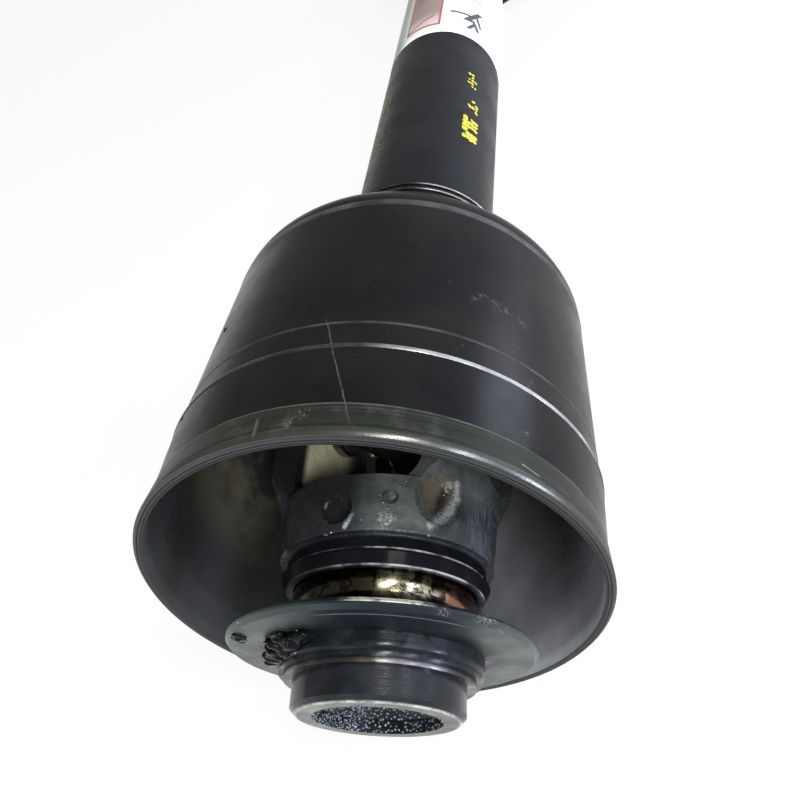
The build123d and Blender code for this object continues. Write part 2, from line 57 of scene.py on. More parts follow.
# %% Places on the shaft
MM = 0.001
bell_low, bell_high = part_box("near_guard_bell")
AXIS_Z = (bell_low.z + bell_high.z) / 2
MOUTH_Y = -bell_low.y
MOUTH_R = (bell_high.x - bell_low.x) / 2
TUBE_R = (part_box("near_guard_tube")[1].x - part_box("near_guard_tube")[0].x) / 2
PHOTO_TURN = math.radians(20.65)


def seen_at(degrees):
    """The turn from the top of a thing that the photograph shows at this turn."""
    return math.radians(degrees) + PHOTO_TURN


def on_shaft(from_mouth, radius, degrees):
    """A point at the near end by its distance from the mouth, radius and seen turn."""
    around = seen_at(degrees)
    return Vector((radius * math.sin(around), from_mouth - MOUTH_Y, AXIS_Z + radius * math.cos(around)))


print("axis height %.4f, mouth at %.4f, mouth radius %.4f" % (AXIS_Z, MOUTH_Y, MOUTH_R))

# %% [markdown]
# Each hub hangs straight down from its joint, 11.3 degrees below the shaft's line.
# Its own direction and its distances are used for the finish of the hub, so the
# joint's place and the lean are worked out once here.

# %% Places on a hub
joint_record = {joint["name"]: joint for joint in frame["joints"]}
JOINT_Y = -joint_record["near_hub_bend"]["pos_m"][1]
HUB_AXIS = -Vector(joint_record["near_collar_slide"]["axis"])
HUB_COS = -HUB_AXIS.y
HUB_SIN = -HUB_AXIS.z
JOINT = Vector((0, -JOINT_Y, AXIS_Z))
OUTWARDS = Vector((0, -HUB_COS, -HUB_SIN))
UPWARDS = Vector((0, -HUB_SIN, HUB_COS))


def on_hub(along, radius, degrees):
    """A point of the near hub by its distance along, radius and seen turn, in mm."""
    around = math.radians(degrees) - PHOTO_TURN
    out = Vector((1, 0, 0)) * math.cos(around) + UPWARDS * math.sin(around)
    return JOINT + OUTWARDS * (along * MM) + out * (radius * MM)


print("joint at %.4f, hub lean %.2f degrees" % (JOINT_Y, math.degrees(math.asin(HUB_SIN))))

# %% [markdown]
# The camera was fitted to the outlines in the photograph. It stands in the plane
# of the shaft, a little in front of the mouth, looks down along the shaft and is
# rolled a little. The hub hung sideways in the photograph, so the camera is then
# turned about the shaft's axis as far as the shaft had to turn to hang straight.

# %% Camera
CAMERA_LENS = 36.74
CAMERA_AHEAD = 0.1336
CAMERA_ABOVE = 0.2373
CAMERA_DOWN = math.radians(47.17)
CAMERA_YAW = math.radians(0.14)
CAMERA_ROLL = math.radians(8.31)

camera_data = bpy.data.cameras.new("camera")
camera_data.lens = CAMERA_LENS
camera_data.sensor_width = 36
camera_data.clip_start = 0.01
camera = bpy.data.objects.new("camera", camera_data)
bpy.context.scene.collection.objects.link(camera)
look = Matrix.Rotation(-CAMERA_YAW, 4, "Z") @ Matrix.Rotation(math.pi / 2 - CAMERA_DOWN, 4, "X")
look = look @ Matrix.Rotation(CAMERA_ROLL, 4, "Z")
stand = Matrix.Translation((0, -MOUTH_Y - CAMERA_AHEAD, CAMERA_ABOVE)) @ look
axis_shift = Matrix.Translation((0, 0, AXIS_Z))
camera.matrix_world = axis_shift @ Matrix.Rotation(PHOTO_TURN, 4, "Y") @ stand
bpy.context.scene.camera = camera
print("camera at", [round(v, 4) for v in camera.matrix_world.translation])

# %% [markdown]
# Black plastic and oily steel show little colour of their own. What the eye reads
# is the lamps mirrored in them, so the lamps decide the look. A small warm one
# straight above draws the thin highlights on every turned edge. A wider cool one
# behind on the right and a weak olive one on the left leave the soft sheens down
# both sides of the bell. A small cool one at the right draws the blue arcs on the
# lip, and a flat strip above it, the brow, lengthens them. Two in front light the
# room inside the bell, one from high up and one from the shaft's own height. Each
# stands in a direction from the collar, given as the photograph shows it, and is
# turned about the shaft as the camera is.

# %% Lamps
LAMPS = [
    # name, direction, distance, light at the collar, width, height, colour
    ("above", (0.02, -0.25, 1.00), 1.25, 2.00, 0.40, 0.16, (1.0, 0.985, 0.90)),
    ("right", (0.65, 0.60, 0.46), 1.40, 1.30, 0.55, 0.45, (0.78, 0.84, 1.0)),
    ("side", (0.87, -0.15, 0.47), 1.40, 1.60, 0.34, 0.22, (0.76, 0.83, 1.0)),
    ("brow", (0.48, -0.23, 0.86), 1.30, 1.30, 0.50, 0.14, (0.86, 0.90, 1.0)),
    ("left", (-0.80, 0.50, 0.32), 1.50, 0.05, 0.50, 0.50, (1.0, 1.0, 0.84)),
    ("front", (0.15, -0.66, 0.74), 1.40, 2.00, 0.35, 0.30, (1.0, 0.99, 0.95)),
    ("low", (-0.40, -0.90, 0.12), 1.40, 0.75, 0.40, 0.30, (0.93, 0.97, 1.0)),
]
AMBIENT = 0.38
MIRRORED_LEFT = 0.36
MIRRORED_RIGHT = 1.35
LAMP_AIM = (0, 0.012 - MOUTH_Y, 0)


def place_seen(point):
    """A point given about the shaft's axis as the photograph shows it."""
    return axis_shift @ Matrix.Rotation(PHOTO_TURN, 4, "Y") @ Vector(point)


for name, direction, distance, light, width, height, colour in LAMPS:
    lamp = bpy.data.lights.new(name + "_lamp", "AREA")
    lamp.shape = "RECTANGLE"
    lamp.energy = light * math.pi * distance ** 2
    lamp.size = width
    lamp.size_y = height
    lamp.color = colour
    holder = bpy.data.objects.new(name + "_lamp", lamp)
    bpy.context.scene.collection.objects.link(holder)
    aim = place_seen(LAMP_AIM)
    holder.location = place_seen(Vector(LAMP_AIM) + Vector(direction).normalized() * distance)
    holder.rotation_euler = (aim - holder.location).to_track_quat("-Z", "Y").to_euler()
    print(name, "lamp", round(lamp.energy, 2), "W")

bpy.context.scene.view_settings.view_transform = "Standard"

# %% [markdown]
# Shader trees are built with small helpers. A wire is a value that flows through a
# tree, and a plain sum with a wire in it adds the Math node for that sum. With
# them a material reads like a short recipe.

# %% Helpers for shader trees
class Wire:
    """One value that flows through a tree. A sum with a wire in it is a wire too."""

    def __init__(self, node, output=0):
        self.socket = node.outputs[output]
        self.tree = node.id_data

    def __add__(self, other):
        return calc("ADD", self, other)

    def __radd__(self, other):
        return calc("ADD", other, self)

    def __sub__(self, other):
        return calc("SUBTRACT", self, other)

    def __rsub__(self, other):
        return calc("SUBTRACT", other, self)

    def __mul__(self, other):
        return calc("MULTIPLY", self, other)

    def __truediv__(self, other):
        return calc("DIVIDE", self, other)

    def __abs__(self):
        return calc("ABSOLUTE", self)


def tree_of(values):
    """The tree that the first wire among some values runs in."""
    return next(value.tree for value in values if isinstance(value, Wire))


def set_input(socket, value):
    """Links an input to a wire, or sets its value. None leaves it as it is."""
    if isinstance(value, Wire):
        value.tree.links.new(value.socket, socket)
    elif value is not None:
        socket.default_value = (*value, 1.0) if socket.type == "RGBA" else value


def fill(node, **values):
    """Fills inputs of a node by name, with _ for a space in the name."""
    for key, value in values.items():
        set_input(node.inputs[key.replace("_", " ")], value)


def add(tree, kind, *values, **settings):
    """Adds a node, sets its options and fills its inputs in order."""
    new = tree.nodes.new(kind)
    for key, value in settings.items():
        setattr(new, key, value)
    for socket, value in zip(new.inputs, values):
        set_input(socket, value)
    return new


def calc(operation, *values):
    """The result of one Math node."""
    return Wire(add(tree_of(values), "ShaderNodeMath", *values, operation=operation))


def vector_calc(operation, first, second):
    """The result of one Vector Math node: a vector for a difference, else a number."""
    new = add(first.tree, "ShaderNodeVectorMath", first, second, operation=operation)
    return Wire(new, "Vector" if operation == "SUBTRACT" else "Value")


def parts(vector):
    """The three parts of a vector."""
    new = add(vector.tree, "ShaderNodeSeparateXYZ", vector)
    return [Wire(new, index) for index in range(3)]


def joined(*values):
    """A vector made of three parts."""
    return Wire(add(tree_of(values), "ShaderNodeCombineXYZ", *values))


def blend(factor, first, second):
    """One colour laid over another as far as a mask says."""
    new = add(factor.tree, "ShaderNodeMix", factor, data_type="RGBA")
    set_input(new.inputs[6], first)
    set_input(new.inputs[7], second)
    return Wire(new, 2)


def between(value, low, high, first=0.0, last=1.0):
    """Goes smoothly from first to last while a value goes from low to high."""
    new = add(value.tree, "ShaderNodeMapRange", interpolation_type="SMOOTHSTEP")
    for index, item in enumerate((value, low, high, first, last)):
        set_input(new.inputs[index], item)
    return Wire(new)


def cloud(vector, scale, detail=3.0, rough=0.55, distortion=0.0):
    """Soft noise from 0 to 1."""
    new = vector.tree.nodes.new("ShaderNodeTexNoise")
    fill(new, Vector=vector, Scale=scale, Detail=detail, Roughness=rough, Distortion=distortion)
    return Wire(new)


print("shader helpers ready")

# %% [markdown]
# The background is white only for rays that the camera sends. What a shiny surface
# mirrors is white on the right and greyer on the left, as the sheens in the
# photograph are. The light that falls on the shaft from all round is dimmer still,
# so that the blacks stay black.

# %% White surroundings
SKY_LEFT = (1.0, 1.0, 0.93)
SKY_RIGHT = (0.90, 0.93, 1.0)
WHITE = (1.0, 1.0, 1.0)
FLOOR_HALF = 4.0
FLOOR_GREY = (0.86, 0.86, 0.86)
FLOOR_WHITE = 0.88

world = bpy.data.worlds.new("surroundings")
bpy.context.scene.world = world
world.use_nodes = True
sky = world.node_tree
sky.nodes.clear()
rays = sky.nodes.new("ShaderNodeLightPath")
to_right = (math.cos(PHOTO_TURN), 0.0, -math.sin(PHOTO_TURN))
sideways = vector_calc("DOT_PRODUCT", Wire(sky.nodes.new("ShaderNodeTexCoord"), "Generated"), to_right)
mirrored = between(sideways, -0.8, 0.8, MIRRORED_LEFT, MIRRORED_RIGHT)
direct = calc("MAXIMUM", Wire(rays, "Is Camera Ray"), Wire(rays, "Is Transmission Ray"))
sky_level = calc("MAXIMUM", AMBIENT + Wire(rays, "Is Glossy Ray") * (mirrored - AMBIENT), direct)
sky_tint = blend(between(sideways, -0.5, 0.6), SKY_LEFT, SKY_RIGHT)
sky_tint = blend(direct, sky_tint, WHITE)
sky_light = add(sky, "ShaderNodeBackground", sky_tint, sky_level)
add(sky, "ShaderNodeOutputWorld", Wire(sky_light))

floor_mesh = bpy.data.meshes.new("floor")
corners = [(-1, -1, 0), (1, -1, 0), (1, 1, 0), (-1, 1, 0)]
floor_mesh.from_pydata([Vector(c) * FLOOR_HALF for c in corners], [], [(0, 1, 2, 3)])
floor = bpy.data.objects.new("floor", floor_mesh)
bpy.context.scene.collection.objects.link(floor)
paint = bpy.data.materials.new("floor_paper")
paint.use_nodes = True
tree = paint.node_tree
tree.nodes.clear()
rays = tree.nodes.new("ShaderNodeLightPath")
seen = calc("MAXIMUM", Wire(rays, "Is Camera Ray"), Wire(rays, "Is Glossy Ray"))
paper = add(tree, "ShaderNodeBsdfDiffuse", FLOOR_GREY)
white = add(tree, "ShaderNodeEmission", WHITE, 1.0)
mixed = add(tree, "ShaderNodeMixShader", seen * FLOOR_WHITE, Wire(paper), Wire(white))
add(tree, "ShaderNodeOutputMaterial", Wire(mixed))
floor_mesh.materials.append(paint)
print("floor", 2 * FLOOR_HALF, "m wide")

# %% [markdown]
# A material often needs to know where on the shaft it is: the lip of the bell is
# scuffed, the top isn't. The first two shared node groups turn an object's own
# coordinates into such distances. They are built once and used in most finishes.

# %% Groups that say where a point lies
def ends_of(tree):
    """The inputs of a tree as wires by name, and the node that takes its results."""
    start = tree.nodes.new("NodeGroupInput")
    given = {socket.name: Wire(start, socket.name) for socket in start.outputs if socket.name}
    return given, tree.nodes.new("NodeGroupOutput")


def start_group(name, inputs, outputs):
    """A new shader group. An input is a number with its usual value, or None for a vector."""
    group = bpy.data.node_groups.new(name, "ShaderNodeTree")
    for label, value in inputs.items():
        kind = "NodeSocketVector" if value is None else "NodeSocketFloat"
        socket = group.interface.new_socket(label, in_out="INPUT", socket_type=kind)
        if value is not None:
            socket.default_value = value
    for label in outputs:
        group.interface.new_socket(label, in_out="OUTPUT", socket_type="NodeSocketFloat")
    return ends_of(group)


def use(name, **values):
    """Places a shared group, fills its inputs and gives its one output or all of them."""
    new = tree_of(values.values()).nodes.new("ShaderNodeGroup")
    new.node_tree = bpy.data.node_groups[name]
    fill(new, **values)
    wires = [Wire(new, index) for index in range(len(new.outputs))]
    return wires[0] if len(wires) == 1 else wires


given, result = start_group("place_on_shaft", {"Position": None}, ["From Mouth", "From Axis", "Around"])
x, y, z = parts(given["Position"])
z -= AXIS_Z
fill(result, From_Mouth=MOUTH_Y - abs(y), From_Axis=calc("SQRT", x * x + z * z))
fill(result, Around=calc("ARCTAN2", x, z))

given, result = start_group("place_on_hub", {"Position": None}, ["Along", "From Axis", "Around"])
x, y, z = parts(given["Position"])
z -= AXIS_Z
y = abs(y) - JOINT_Y
rise = y * HUB_SIN + z * HUB_COS
fill(result, Along=y * HUB_COS - z * HUB_SIN, From_Axis=calc("SQRT", x * x + rise * rise))
fill(result, Around=calc("ARCTAN2", rise, x))
print("groups:", [g.name for g in bpy.data.node_groups])

# %% [markdown]
# Wear is the same story on every part: a thin broken film of pale marks, thick in
# some spots and absent in others. One group makes it by multiplying a fine torn
# noise with a coarse one. A second group gives a soft ragged spot round a chosen
# point and a third a ragged stroke from one point to another, for the single marks
# that can be seen in the photograph. A fourth makes the fine lines that a lathe or
# a mould leaves round a turned form.

# %% Groups for wear
given, result = start_group("scuffs", {"Position": None, "Scale": 300.0, "Amount": 0.4}, ["Mask"])
fine = cloud(given["Position"], given["Scale"], 7, 0.72, 1.2)
coarse = cloud(given["Position"], given["Scale"] * 0.13, 2, 0.5)
limit = 0.78 - given["Amount"] * 0.3
fill(result, Mask=between(fine, limit, limit + 0.07) * between(coarse, 0.42, 0.66))

given, result = start_group("spot", {"Position": None, "Centre": None, "Size": 0.005}, ["Mask"])
share = vector_calc("DISTANCE", given["Position"], given["Centre"]) / given["Size"]
share += cloud(given["Position"], 420, 4, 0.7) * 1.3
fill(result, Mask=between(share, 1.45, 1.05))

given, result = start_group("stroke", {"Position": None, "From": None, "To": None, "Size": 0.002}, ["Mask"])
run = vector_calc("SUBTRACT", given["To"], given["From"])
reach = vector_calc("SUBTRACT", given["Position"], given["From"])
share = vector_calc("DOT_PRODUCT", reach, run) / vector_calc("DOT_PRODUCT", run, run)
share = calc("MAXIMUM", calc("MINIMUM", share, 1.0), 0.0)
nearest = add(run.tree, "ShaderNodeVectorMath", run, operation="SCALE")
fill(nearest, Scale=share)
apart = vector_calc("DISTANCE", reach, Wire(nearest)) / given["Size"]
apart += cloud(given["Position"], 700, 4, 0.7)
fill(result, Mask=between(apart, 1.65, 0.60))

given, result = start_group("turned_lines", {"Along": 0.0, "From Axis": 0.0, "Density": 2500.0}, ["Height"])
line_place = joined(given["Along"], given["From Axis"], 0.0)
lines = add(line_place.tree, "ShaderNodeTexNoise", noise_dimensions="2D")
fill(lines, Vector=line_place, Scale=given["Density"], Detail=2)
fill(result, Height=Wire(lines))
print("groups:", len(bpy.data.node_groups))

# %% [markdown]
# Every finish starts from the same three nodes: the object's coordinates, the
# surface shader and the output. Each material then adds its own recipe.

# %% Start of a material
finishes = {}


def start_material(name, metallic=0.0, specular=0.5, coat_rough=0.1):
    """A new material: its surface shader and the object's coordinates."""
    material = bpy.data.materials.new(name)
    finishes[name] = material
    material.use_nodes = True
    nodes_of = material.node_tree.nodes
    nodes_of.clear()
    shader = nodes_of.new("ShaderNodeBsdfPrincipled")
    fill(shader, Metallic=metallic, Specular_IOR_Level=specular, Coat_Roughness=coat_rough)
    fill(nodes_of.new("ShaderNodeOutputMaterial"), Surface=Wire(shader))
    return shader, Wire(nodes_of.new("ShaderNodeTexCoord"), "Object")


def bump(shader, height, depth, under=None):
    """Gives the shader a relief of a depth in metres, over another relief or none."""
    new = shader.id_data.nodes.new("ShaderNodeBump")
    fill(new, Distance=depth, Height=height, Normal=under)
    fill(shader, Normal=Wire(new))
    return Wire(new)


def curved(past, amount):
    """A height in mm that falls with the square of a distance, by an amount at 1 mm."""
    return past * past * (-amount / MM ** 2)


print("material helper ready")

# %% [markdown]
# The bell is moulded in black plastic, half glossy, and it has been knocked about.
# Its lip is a rougher, greyer band. Fine rings run round it, the inside is dusty,
# with painted light on its deep wall and on its right side, painted highlights run
# along the shoulder's edge and the fine line, and a long pale scratch and a few
# white scuffs stand on the side that is seen.

# %% Black moulded plastic of the bells
BAND_END = 13.3 * MM
EDGE_ROUND = 0.10
SCUFF_SPOTS = [
    # from the mouth, turn seen in the photograph, size, all in mm and degrees
    (69.8, 16.5, 5.0), (68.6, 20.5, 5.0), (68.0, 25.0, 5.0), (66.8, 28.5, 4.0), (8.0, -20.5, 6.5),
    (3.0, -28.5, 2.6), (6.5, 31.5, 2.6), (40.0, 30.0, 5.0), (18.0, 28.0, 4.0), (59.0, -54.0, 4.0),
]
BELL_STROKES = [
    # from the mouth and turn of both ends, half width, strength
    (10.5, -29.3, 3.0, -28.6, 0.8, 0.28), (1.6, -30.2, 1.2, -26.8, 0.5, 0.9),
    (6.3, 27.5, 5.2, 32.0, 0.35, 1.0),
]
# painted highlights: lighter lines along the shoulder's edge and along the fine line behind the step
PAINTED_EDGE_HIGHLIGHTS = [
    # from the mouth, half width, strength, colour
    (115.4, 2.2, 0.8, (0.070, 0.072, 0.078)), (47.6, 0.7, 0.9, (0.050, 0.051, 0.046)),
]
# the long scratch: its far and near end from the mouth, and the turns of both
SCRATCH = (48.4, 5.0, -19.3, -8.9)
LIP_ROUND = 5.0 * MM
# the inner wall: how it narrows, and where it turns into the steep cone of the shoulder
WALL_SLOPE = 0.036
CONE_START = 125.5 * MM
CONE_R = 69.55 * MM
CONE_SLOPE = 1.41
NECK_START = 138 * MM

shader, place = start_material("guard_plastic", specular=0.07)
from_mouth, from_axis, around = use("place_on_shaft", Position=place)
mottle = between(cloud(place, 28, 4, 0.6), 0.35, 0.7)
colour = blend(mottle, (0.0042, 0.0045, 0.0056), (0.0085, 0.0084, 0.0084))
streaks = use("turned_lines", Along=from_mouth, From_Axis=0.0, Density=900.0)
outside = between(from_axis, MOUTH_R - 7.0 * MM, MOUTH_R - 5.0 * MM)
band = between(from_mouth, BAND_END + 0.4 * MM, BAND_END - 0.2 * MM) * outside
worn = band * between(streaks, 0.3, 0.75, 0.35, 1.0)
patches = between(cloud(place, 85, 4, 0.6), 0.50, 0.66)
band_tint = blend(patches, (0.021, 0.024, 0.019), (0.046, 0.048, 0.045))
colour = blend(worn, colour, band_tint)
ridge = between(abs(from_mouth - BAND_END), 0.45 * MM, 0.10 * MM)
ridge *= between(cloud(place, 70, 3), 0.35, 0.6, 0.15, 0.9)
colour = blend(ridge * outside, colour, (0.070, 0.072, 0.060))
wall_r = MOUTH_R - 3.0 * MM - from_mouth * WALL_SLOPE
cone_r = CONE_R - (from_mouth - CONE_START) * CONE_SLOPE
inside = between(from_axis - calc("MINIMUM", wall_r, cone_r), 0.3 * MM, -0.3 * MM)
inside *= between(from_mouth, NECK_START + 3 * MM, NECK_START)
# inside the bell: the deep wall is olive dust made lighter as painted light, and the right wall is painted
# lighter, a painted light
deep = between(from_mouth, 25 * MM, 80 * MM)
seen_x = calc("SINE", around - PHOTO_TURN)
on_right = between(seen_x, -0.3, 0.5)
dust_and_painted_light = blend(deep, (0.042, 0.045, 0.052), (0.25, 0.235, 0.165))
dust_and_painted_light = blend(mottle, dust_and_painted_light, (0.030, 0.030, 0.030))
painted_light_right_wall = blend(mottle, (0.29, 0.30, 0.335), (0.19, 0.20, 0.225))
dust_and_painted_light = blend(on_right, dust_and_painted_light, painted_light_right_wall)
colour = blend(inside * 0.85, colour, dust_and_painted_light)
# each line is a painted highlight, kept off the inner wall
for edge_along, half, strength, tint in PAINTED_EDGE_HIGHLIGHTS:
    apart = abs(from_mouth - edge_along * MM)
    soft = between(apart, half * MM, half * 0.5 * MM) * between(inside, 0, 1, 1, 0)
    soft *= between(cloud(place, 60, 3), 0.35, 0.6, 0.3 * strength, strength)
    colour = blend(soft, colour, tint)
marks = use("scuffs", Position=place, Scale=330.0, Amount=0.45) * 0.35
torn = use("scuffs", Position=place, Scale=1300.0, Amount=0.85)
for along, turn, size in SCUFF_SPOTS:
    centre = on_shaft(along * MM, MOUTH_R - 3 * MM, turn)
    spot = use("spot", Position=place, Centre=centre, Size=size * MM)
    marks = calc("MAXIMUM", marks, spot * torn)
for along, turn, last_along, last_turn, size, strength in BELL_STROKES:
    first = on_shaft(along * MM, MOUTH_R - 0.8 * MM, turn)
    last = on_shaft(last_along * MM, MOUTH_R - 0.8 * MM, last_turn)
    stroke = use("stroke", Position=place, From=first, To=last, Size=size * MM)
    colour = blend(stroke * strength, colour, (0.20, 0.21, 0.19))
front = between(from_mouth, 0.12 * MM, 0.02 * MM)
ringed = use("turned_lines", Along=0.0, From_Axis=from_axis, Density=1900.0)
ringed = blend(between(ringed, 0.42, 0.60), (0.004, 0.004, 0.005), (0.050, 0.052, 0.056))
colour = blend(front, colour, ringed)
colour = blend(marks, colour, (0.20, 0.205, 0.21))
high, low, high_turn, low_turn = SCRATCH
slope = math.radians(high_turn - low_turn) / ((high - low) * MM)
wobble = (cloud(place, 90, 2) - 0.5) * 0.022
track = (from_mouth - low * MM) * slope + seen_at(low_turn) + wobble
line = between(abs(around - track), 0.0050, 0.0010)
line *= between(from_mouth, (low - 2) * MM, (low + 3) * MM)
line *= between(from_mouth, (high + 3) * MM, (high - 2) * MM)
line *= between(parts(place)[1], 0.0, -0.01)
line *= between(cloud(place, 300, 3), 0.3, 0.6, 0.25, 1.0)
colour = blend(line, colour, (0.055, 0.052, 0.048))
fill(shader, Base_Color=colour)
lip_share = between(from_mouth, 4.2 * MM, 3.0 * MM) * between(from_axis, 76.2 * MM, 76.9 * MM)
streaked = use("turned_lines", Along=from_mouth, From_Axis=from_axis, Density=1700.0)
lip_share *= between(streaked, 0.35, 0.6, 0.5, 1.0)
fill(shader, Specular_IOR_Level=between(lip_share, 0, 1, 0.07, 0.85))
rough = between(cloud(place, 60, 5, 0.65), 0.3, 0.7, 0.24, 0.34)
rough += worn * 0.16
rough += marks * 0.3
rough -= lip_share * 0.16
fill(shader, Roughness=rough)
waves = bump(shader, cloud(place, 14, 2), 1.2 * MM)
near_lip = calc("MAXIMUM", LIP_ROUND - from_mouth, 0.0)
rolled = bump(shader, curved(near_lip, EDGE_ROUND), 1.0 * MM, waves)
rings = bump(shader, streaks, 0.02 * MM, rolled)
grain = bump(shader, cloud(place, 1500, 3), 0.02 * MM, rings)
bump(shader, marks, 0.06 * MM, grain)
print("guard plastic:", len(shader.id_data.nodes), "nodes")

# %% [markdown]
# Where hands and boxes rub, on the edge of the step and on the ribs of the neck, the
# plastic is polished. The rings that stand for these edges get a glossier finish,
# broken by dull patches, so that the bright arcs on them come and go. On the front
# and the right side as seen, their colour is painted lighter: a painted highlight.

# %% Polished edges of the bells
shader, place = start_material("polished_edge_and_highlight", specular=0.5)
patchy = between(cloud(place, 110, 4, 0.6), 0.40, 0.62)
around = use("place_on_shaft", Position=place)[2]
seen_x = calc("SINE", around - PHOTO_TURN)
# painted highlight: lighter colour on the front and right side as seen
painted_highlight_side = between(seen_x, -0.20, 0.05) * between(seen_x, 0.92, 0.75)
edge_tint_and_highlight = blend(painted_highlight_side, (0.014, 0.015, 0.016), (0.26, 0.265, 0.28))
fill(shader, Base_Color=blend(patchy * 0.5, edge_tint_and_highlight, (0.040, 0.041, 0.042)))
fill(shader, Specular_IOR_Level=between(painted_highlight_side, 0, 1, 0.15, 0.8))
fill(shader, Roughness=between(patchy, 0, 1, 0.18, 0.30))
bump(shader, cloud(place, 420, 3), 0.03 * MM)
print("polished edge:", len(shader.id_data.nodes), "nodes")

# %% [markdown]
# The tubes are drawn through a die, so their marks run lengthwise. They are a
# little bluer and smoother than the bells, and dull with handling.

# %% Black drawn plastic of the tubes
shader, place = start_material("guard_tube_plastic", specular=0.07)
x, y, z = parts(place)
drawn = cloud(joined(x, y * 0.02, z), 260, 4, 0.6)
mottle = between(cloud(place, 22, 4, 0.6), 0.35, 0.7)
colour = blend(mottle, (0.0065, 0.0075, 0.0100), (0.0120, 0.0132, 0.0165))
marks = use("scuffs", Position=place, Scale=300.0, Amount=0.35)
colour = blend(marks * 0.25, colour, (0.13, 0.135, 0.14))
rough = between(cloud(place, 50, 4, 0.6), 0.3, 0.7, 0.30, 0.42)
fill(shader, Base_Color=colour, Roughness=rough)
lengthwise = bump(shader, drawn, 0.06 * MM)
bump(shader, cloud(place, 1400, 3), 0.015 * MM, lengthwise)
print("tube plastic:", len(shader.id_data.nodes), "nodes")

# %% [markdown]
# The hub was forged, blackened and then greased. Behind its lip the forged skin is
# lumpy. From the lip outwards it was turned on a lathe. Its end face is bare, worn
# and grey-green, and one flat spot near the fork still shows a tan oil stain. Light
# and shade are painted into its colour too: a lighter teal top, a darker left side,
# a bright tan inner face of an ear, a blue-grey sheen on the right, and painted
# highlights on the chamfer of the nose, on crescent edges, in glints and on the two
# edges of the lip.

# %% Oily black steel of the hubs
BODY_END = 64.8 * MM
FACE_START = 113.0 * MM
HUB_NOSE_R = 28.2 * MM
LIP_START = 65.5 * MM
LIP_END = 76.5 * MM
# marks on the hub: distance along it, radius and seen turn, then the size
STAIN = (49.0, 34.3, 68.0, 10.5)
HUB_SHADE = (46.0, 34.3, 62.5, 55.5, 34.3, 66.5, 2.6)
# pale strokes: painted highlights on crescent edges round the flat spot and the dimple, broken by torn noise
HUB_HIGHLIGHT_STROKES = [
    # distance along the hub, radius and seen turn of both ends, half width
    (44.5, 38.2, 59.0, 49.6, 36.4, 57.0, 1.2), (49.6, 36.4, 57.0, 53.9, 35.0, 60.0, 2.0),
    (53.9, 35.0, 60.0, 58.5, 35.4, 67.0, 2.6), (58.5, 35.4, 67.0, 61.5, 36.9, 73.0, 1.8),
    (54.0, 36.0, 128.0, 55.5, 36.0, 131.0, 0.9), (62.0, 36.1, 127.0, 64.5, 36.1, 126.0, 0.9),
    (63.2, 37.2, 115.0, 58.5, 36.4, 110.5, 1.1), (52.8, 34.8, 93.0, 52.2, 34.6, 91.0, 0.7),
]
# painted glints, broken into specks
PAINTED_GLINTS = ((60.3, 37.4, 94.0, 4.6), (46.0, 35.5, 66.0, 4.0), (50.5, 34.6, 92.5, 2.4))
# the two edges of the lip, drawn pale as painted highlights: distance along, and the turn as far as which they are
# bright
LIP_EDGE_HIGHLIGHTS = ((69.3, 96.0), (74.6, 112.0))

shader, place = start_material("hub_steel", specular=0.15, coat_rough=0.06)
along, radius, around = use("place_on_hub", Position=place)
forged = between(along, BODY_END + 0.5 * MM, BODY_END - 0.5 * MM)
mottle = between(cloud(place, 70, 5, 0.62), 0.35, 0.68)
colour = blend(mottle, (0.0060, 0.0072, 0.0095), (0.0150, 0.0165, 0.0210))
skin_and_painted_light = blend(mottle, (0.030, 0.036, 0.038), (0.078, 0.084, 0.088))
leftwards = calc("COSINE", around + PHOTO_TURN)
# painted light: the inner face of the ear is a bright tan
painted_light_ear_inside = between(leftwards, -0.5, -0.8) * between(radius, 34 * MM, 31 * MM)
painted_light_ear_inside *= between(along, 46 * MM, 42 * MM)
turned_by = calc("DEGREES", around + PHOTO_TURN)
# painted light: the top of the forged skin is lighter, in teal
middle = between(abs(turned_by - 86.0), 20, 8, 0.0, 0.75)
middle *= between(cloud(place, 110, 4, 0.6), 0.40, 0.60, 0.3, 1.0)
skin_and_painted_light = blend(middle, skin_and_painted_light, (0.105, 0.125, 0.118))
shaded = between(turned_by, 99, 116, 0.0, 0.80)
skin_and_painted_light = blend(shaded, skin_and_painted_light, (0.012, 0.011, 0.014))
skin_and_painted_light = blend(painted_light_ear_inside, skin_and_painted_light, (0.66, 0.63, 0.45))
colour = blend(forged, colour, skin_and_painted_light)
face = between(along, FACE_START + 0.7 * MM, FACE_START + 0.95 * MM)
face_tint = blend(mottle, (0.095, 0.114, 0.096), (0.150, 0.172, 0.148))
colour = blend(face, colour, face_tint)
# the chamfer of the nose is pale: partly worn edge, partly painted highlight
corner_wear_and_highlight = between(abs(radius - (HUB_NOSE_R - 1.9 * MM)), 0.9 * MM, 0.2 * MM)
corner_wear_and_highlight *= between(along, FACE_START, FACE_START + 0.6 * MM)
corner_wear_and_highlight *= between(cloud(place, 200, 3), 0.35, 0.6, 0.3, 1.0)
colour = blend(corner_wear_and_highlight, colour, (0.33, 0.35, 0.33))
stain = use("spot", Position=place, Centre=on_hub(*STAIN[:3]), Size=STAIN[3] * MM)
colour = blend(stain, colour, (0.100, 0.088, 0.064))
lip = between(along, LIP_START, LIP_START + 0.5 * MM) * between(along, LIP_END, LIP_END - 0.5 * MM)
colour = blend(lip * 0.65, colour, (0.002, 0.0018, 0.0024))
# painted sheen: a streaked blue-grey on the right side of the forged skin
painted_sheen_cheek = between(cloud(joined(around, along * 2.1, 0.0), 60, 3, 0.6), 0.40, 0.62)
painted_sheen_cheek *= between(abs(turned_by - 38.0), 18, 8)
painted_sheen_cheek = painted_sheen_cheek * forged * between(along, 42 * MM, 48 * MM)
colour = blend(painted_sheen_cheek, colour, (0.120, 0.120, 0.170))


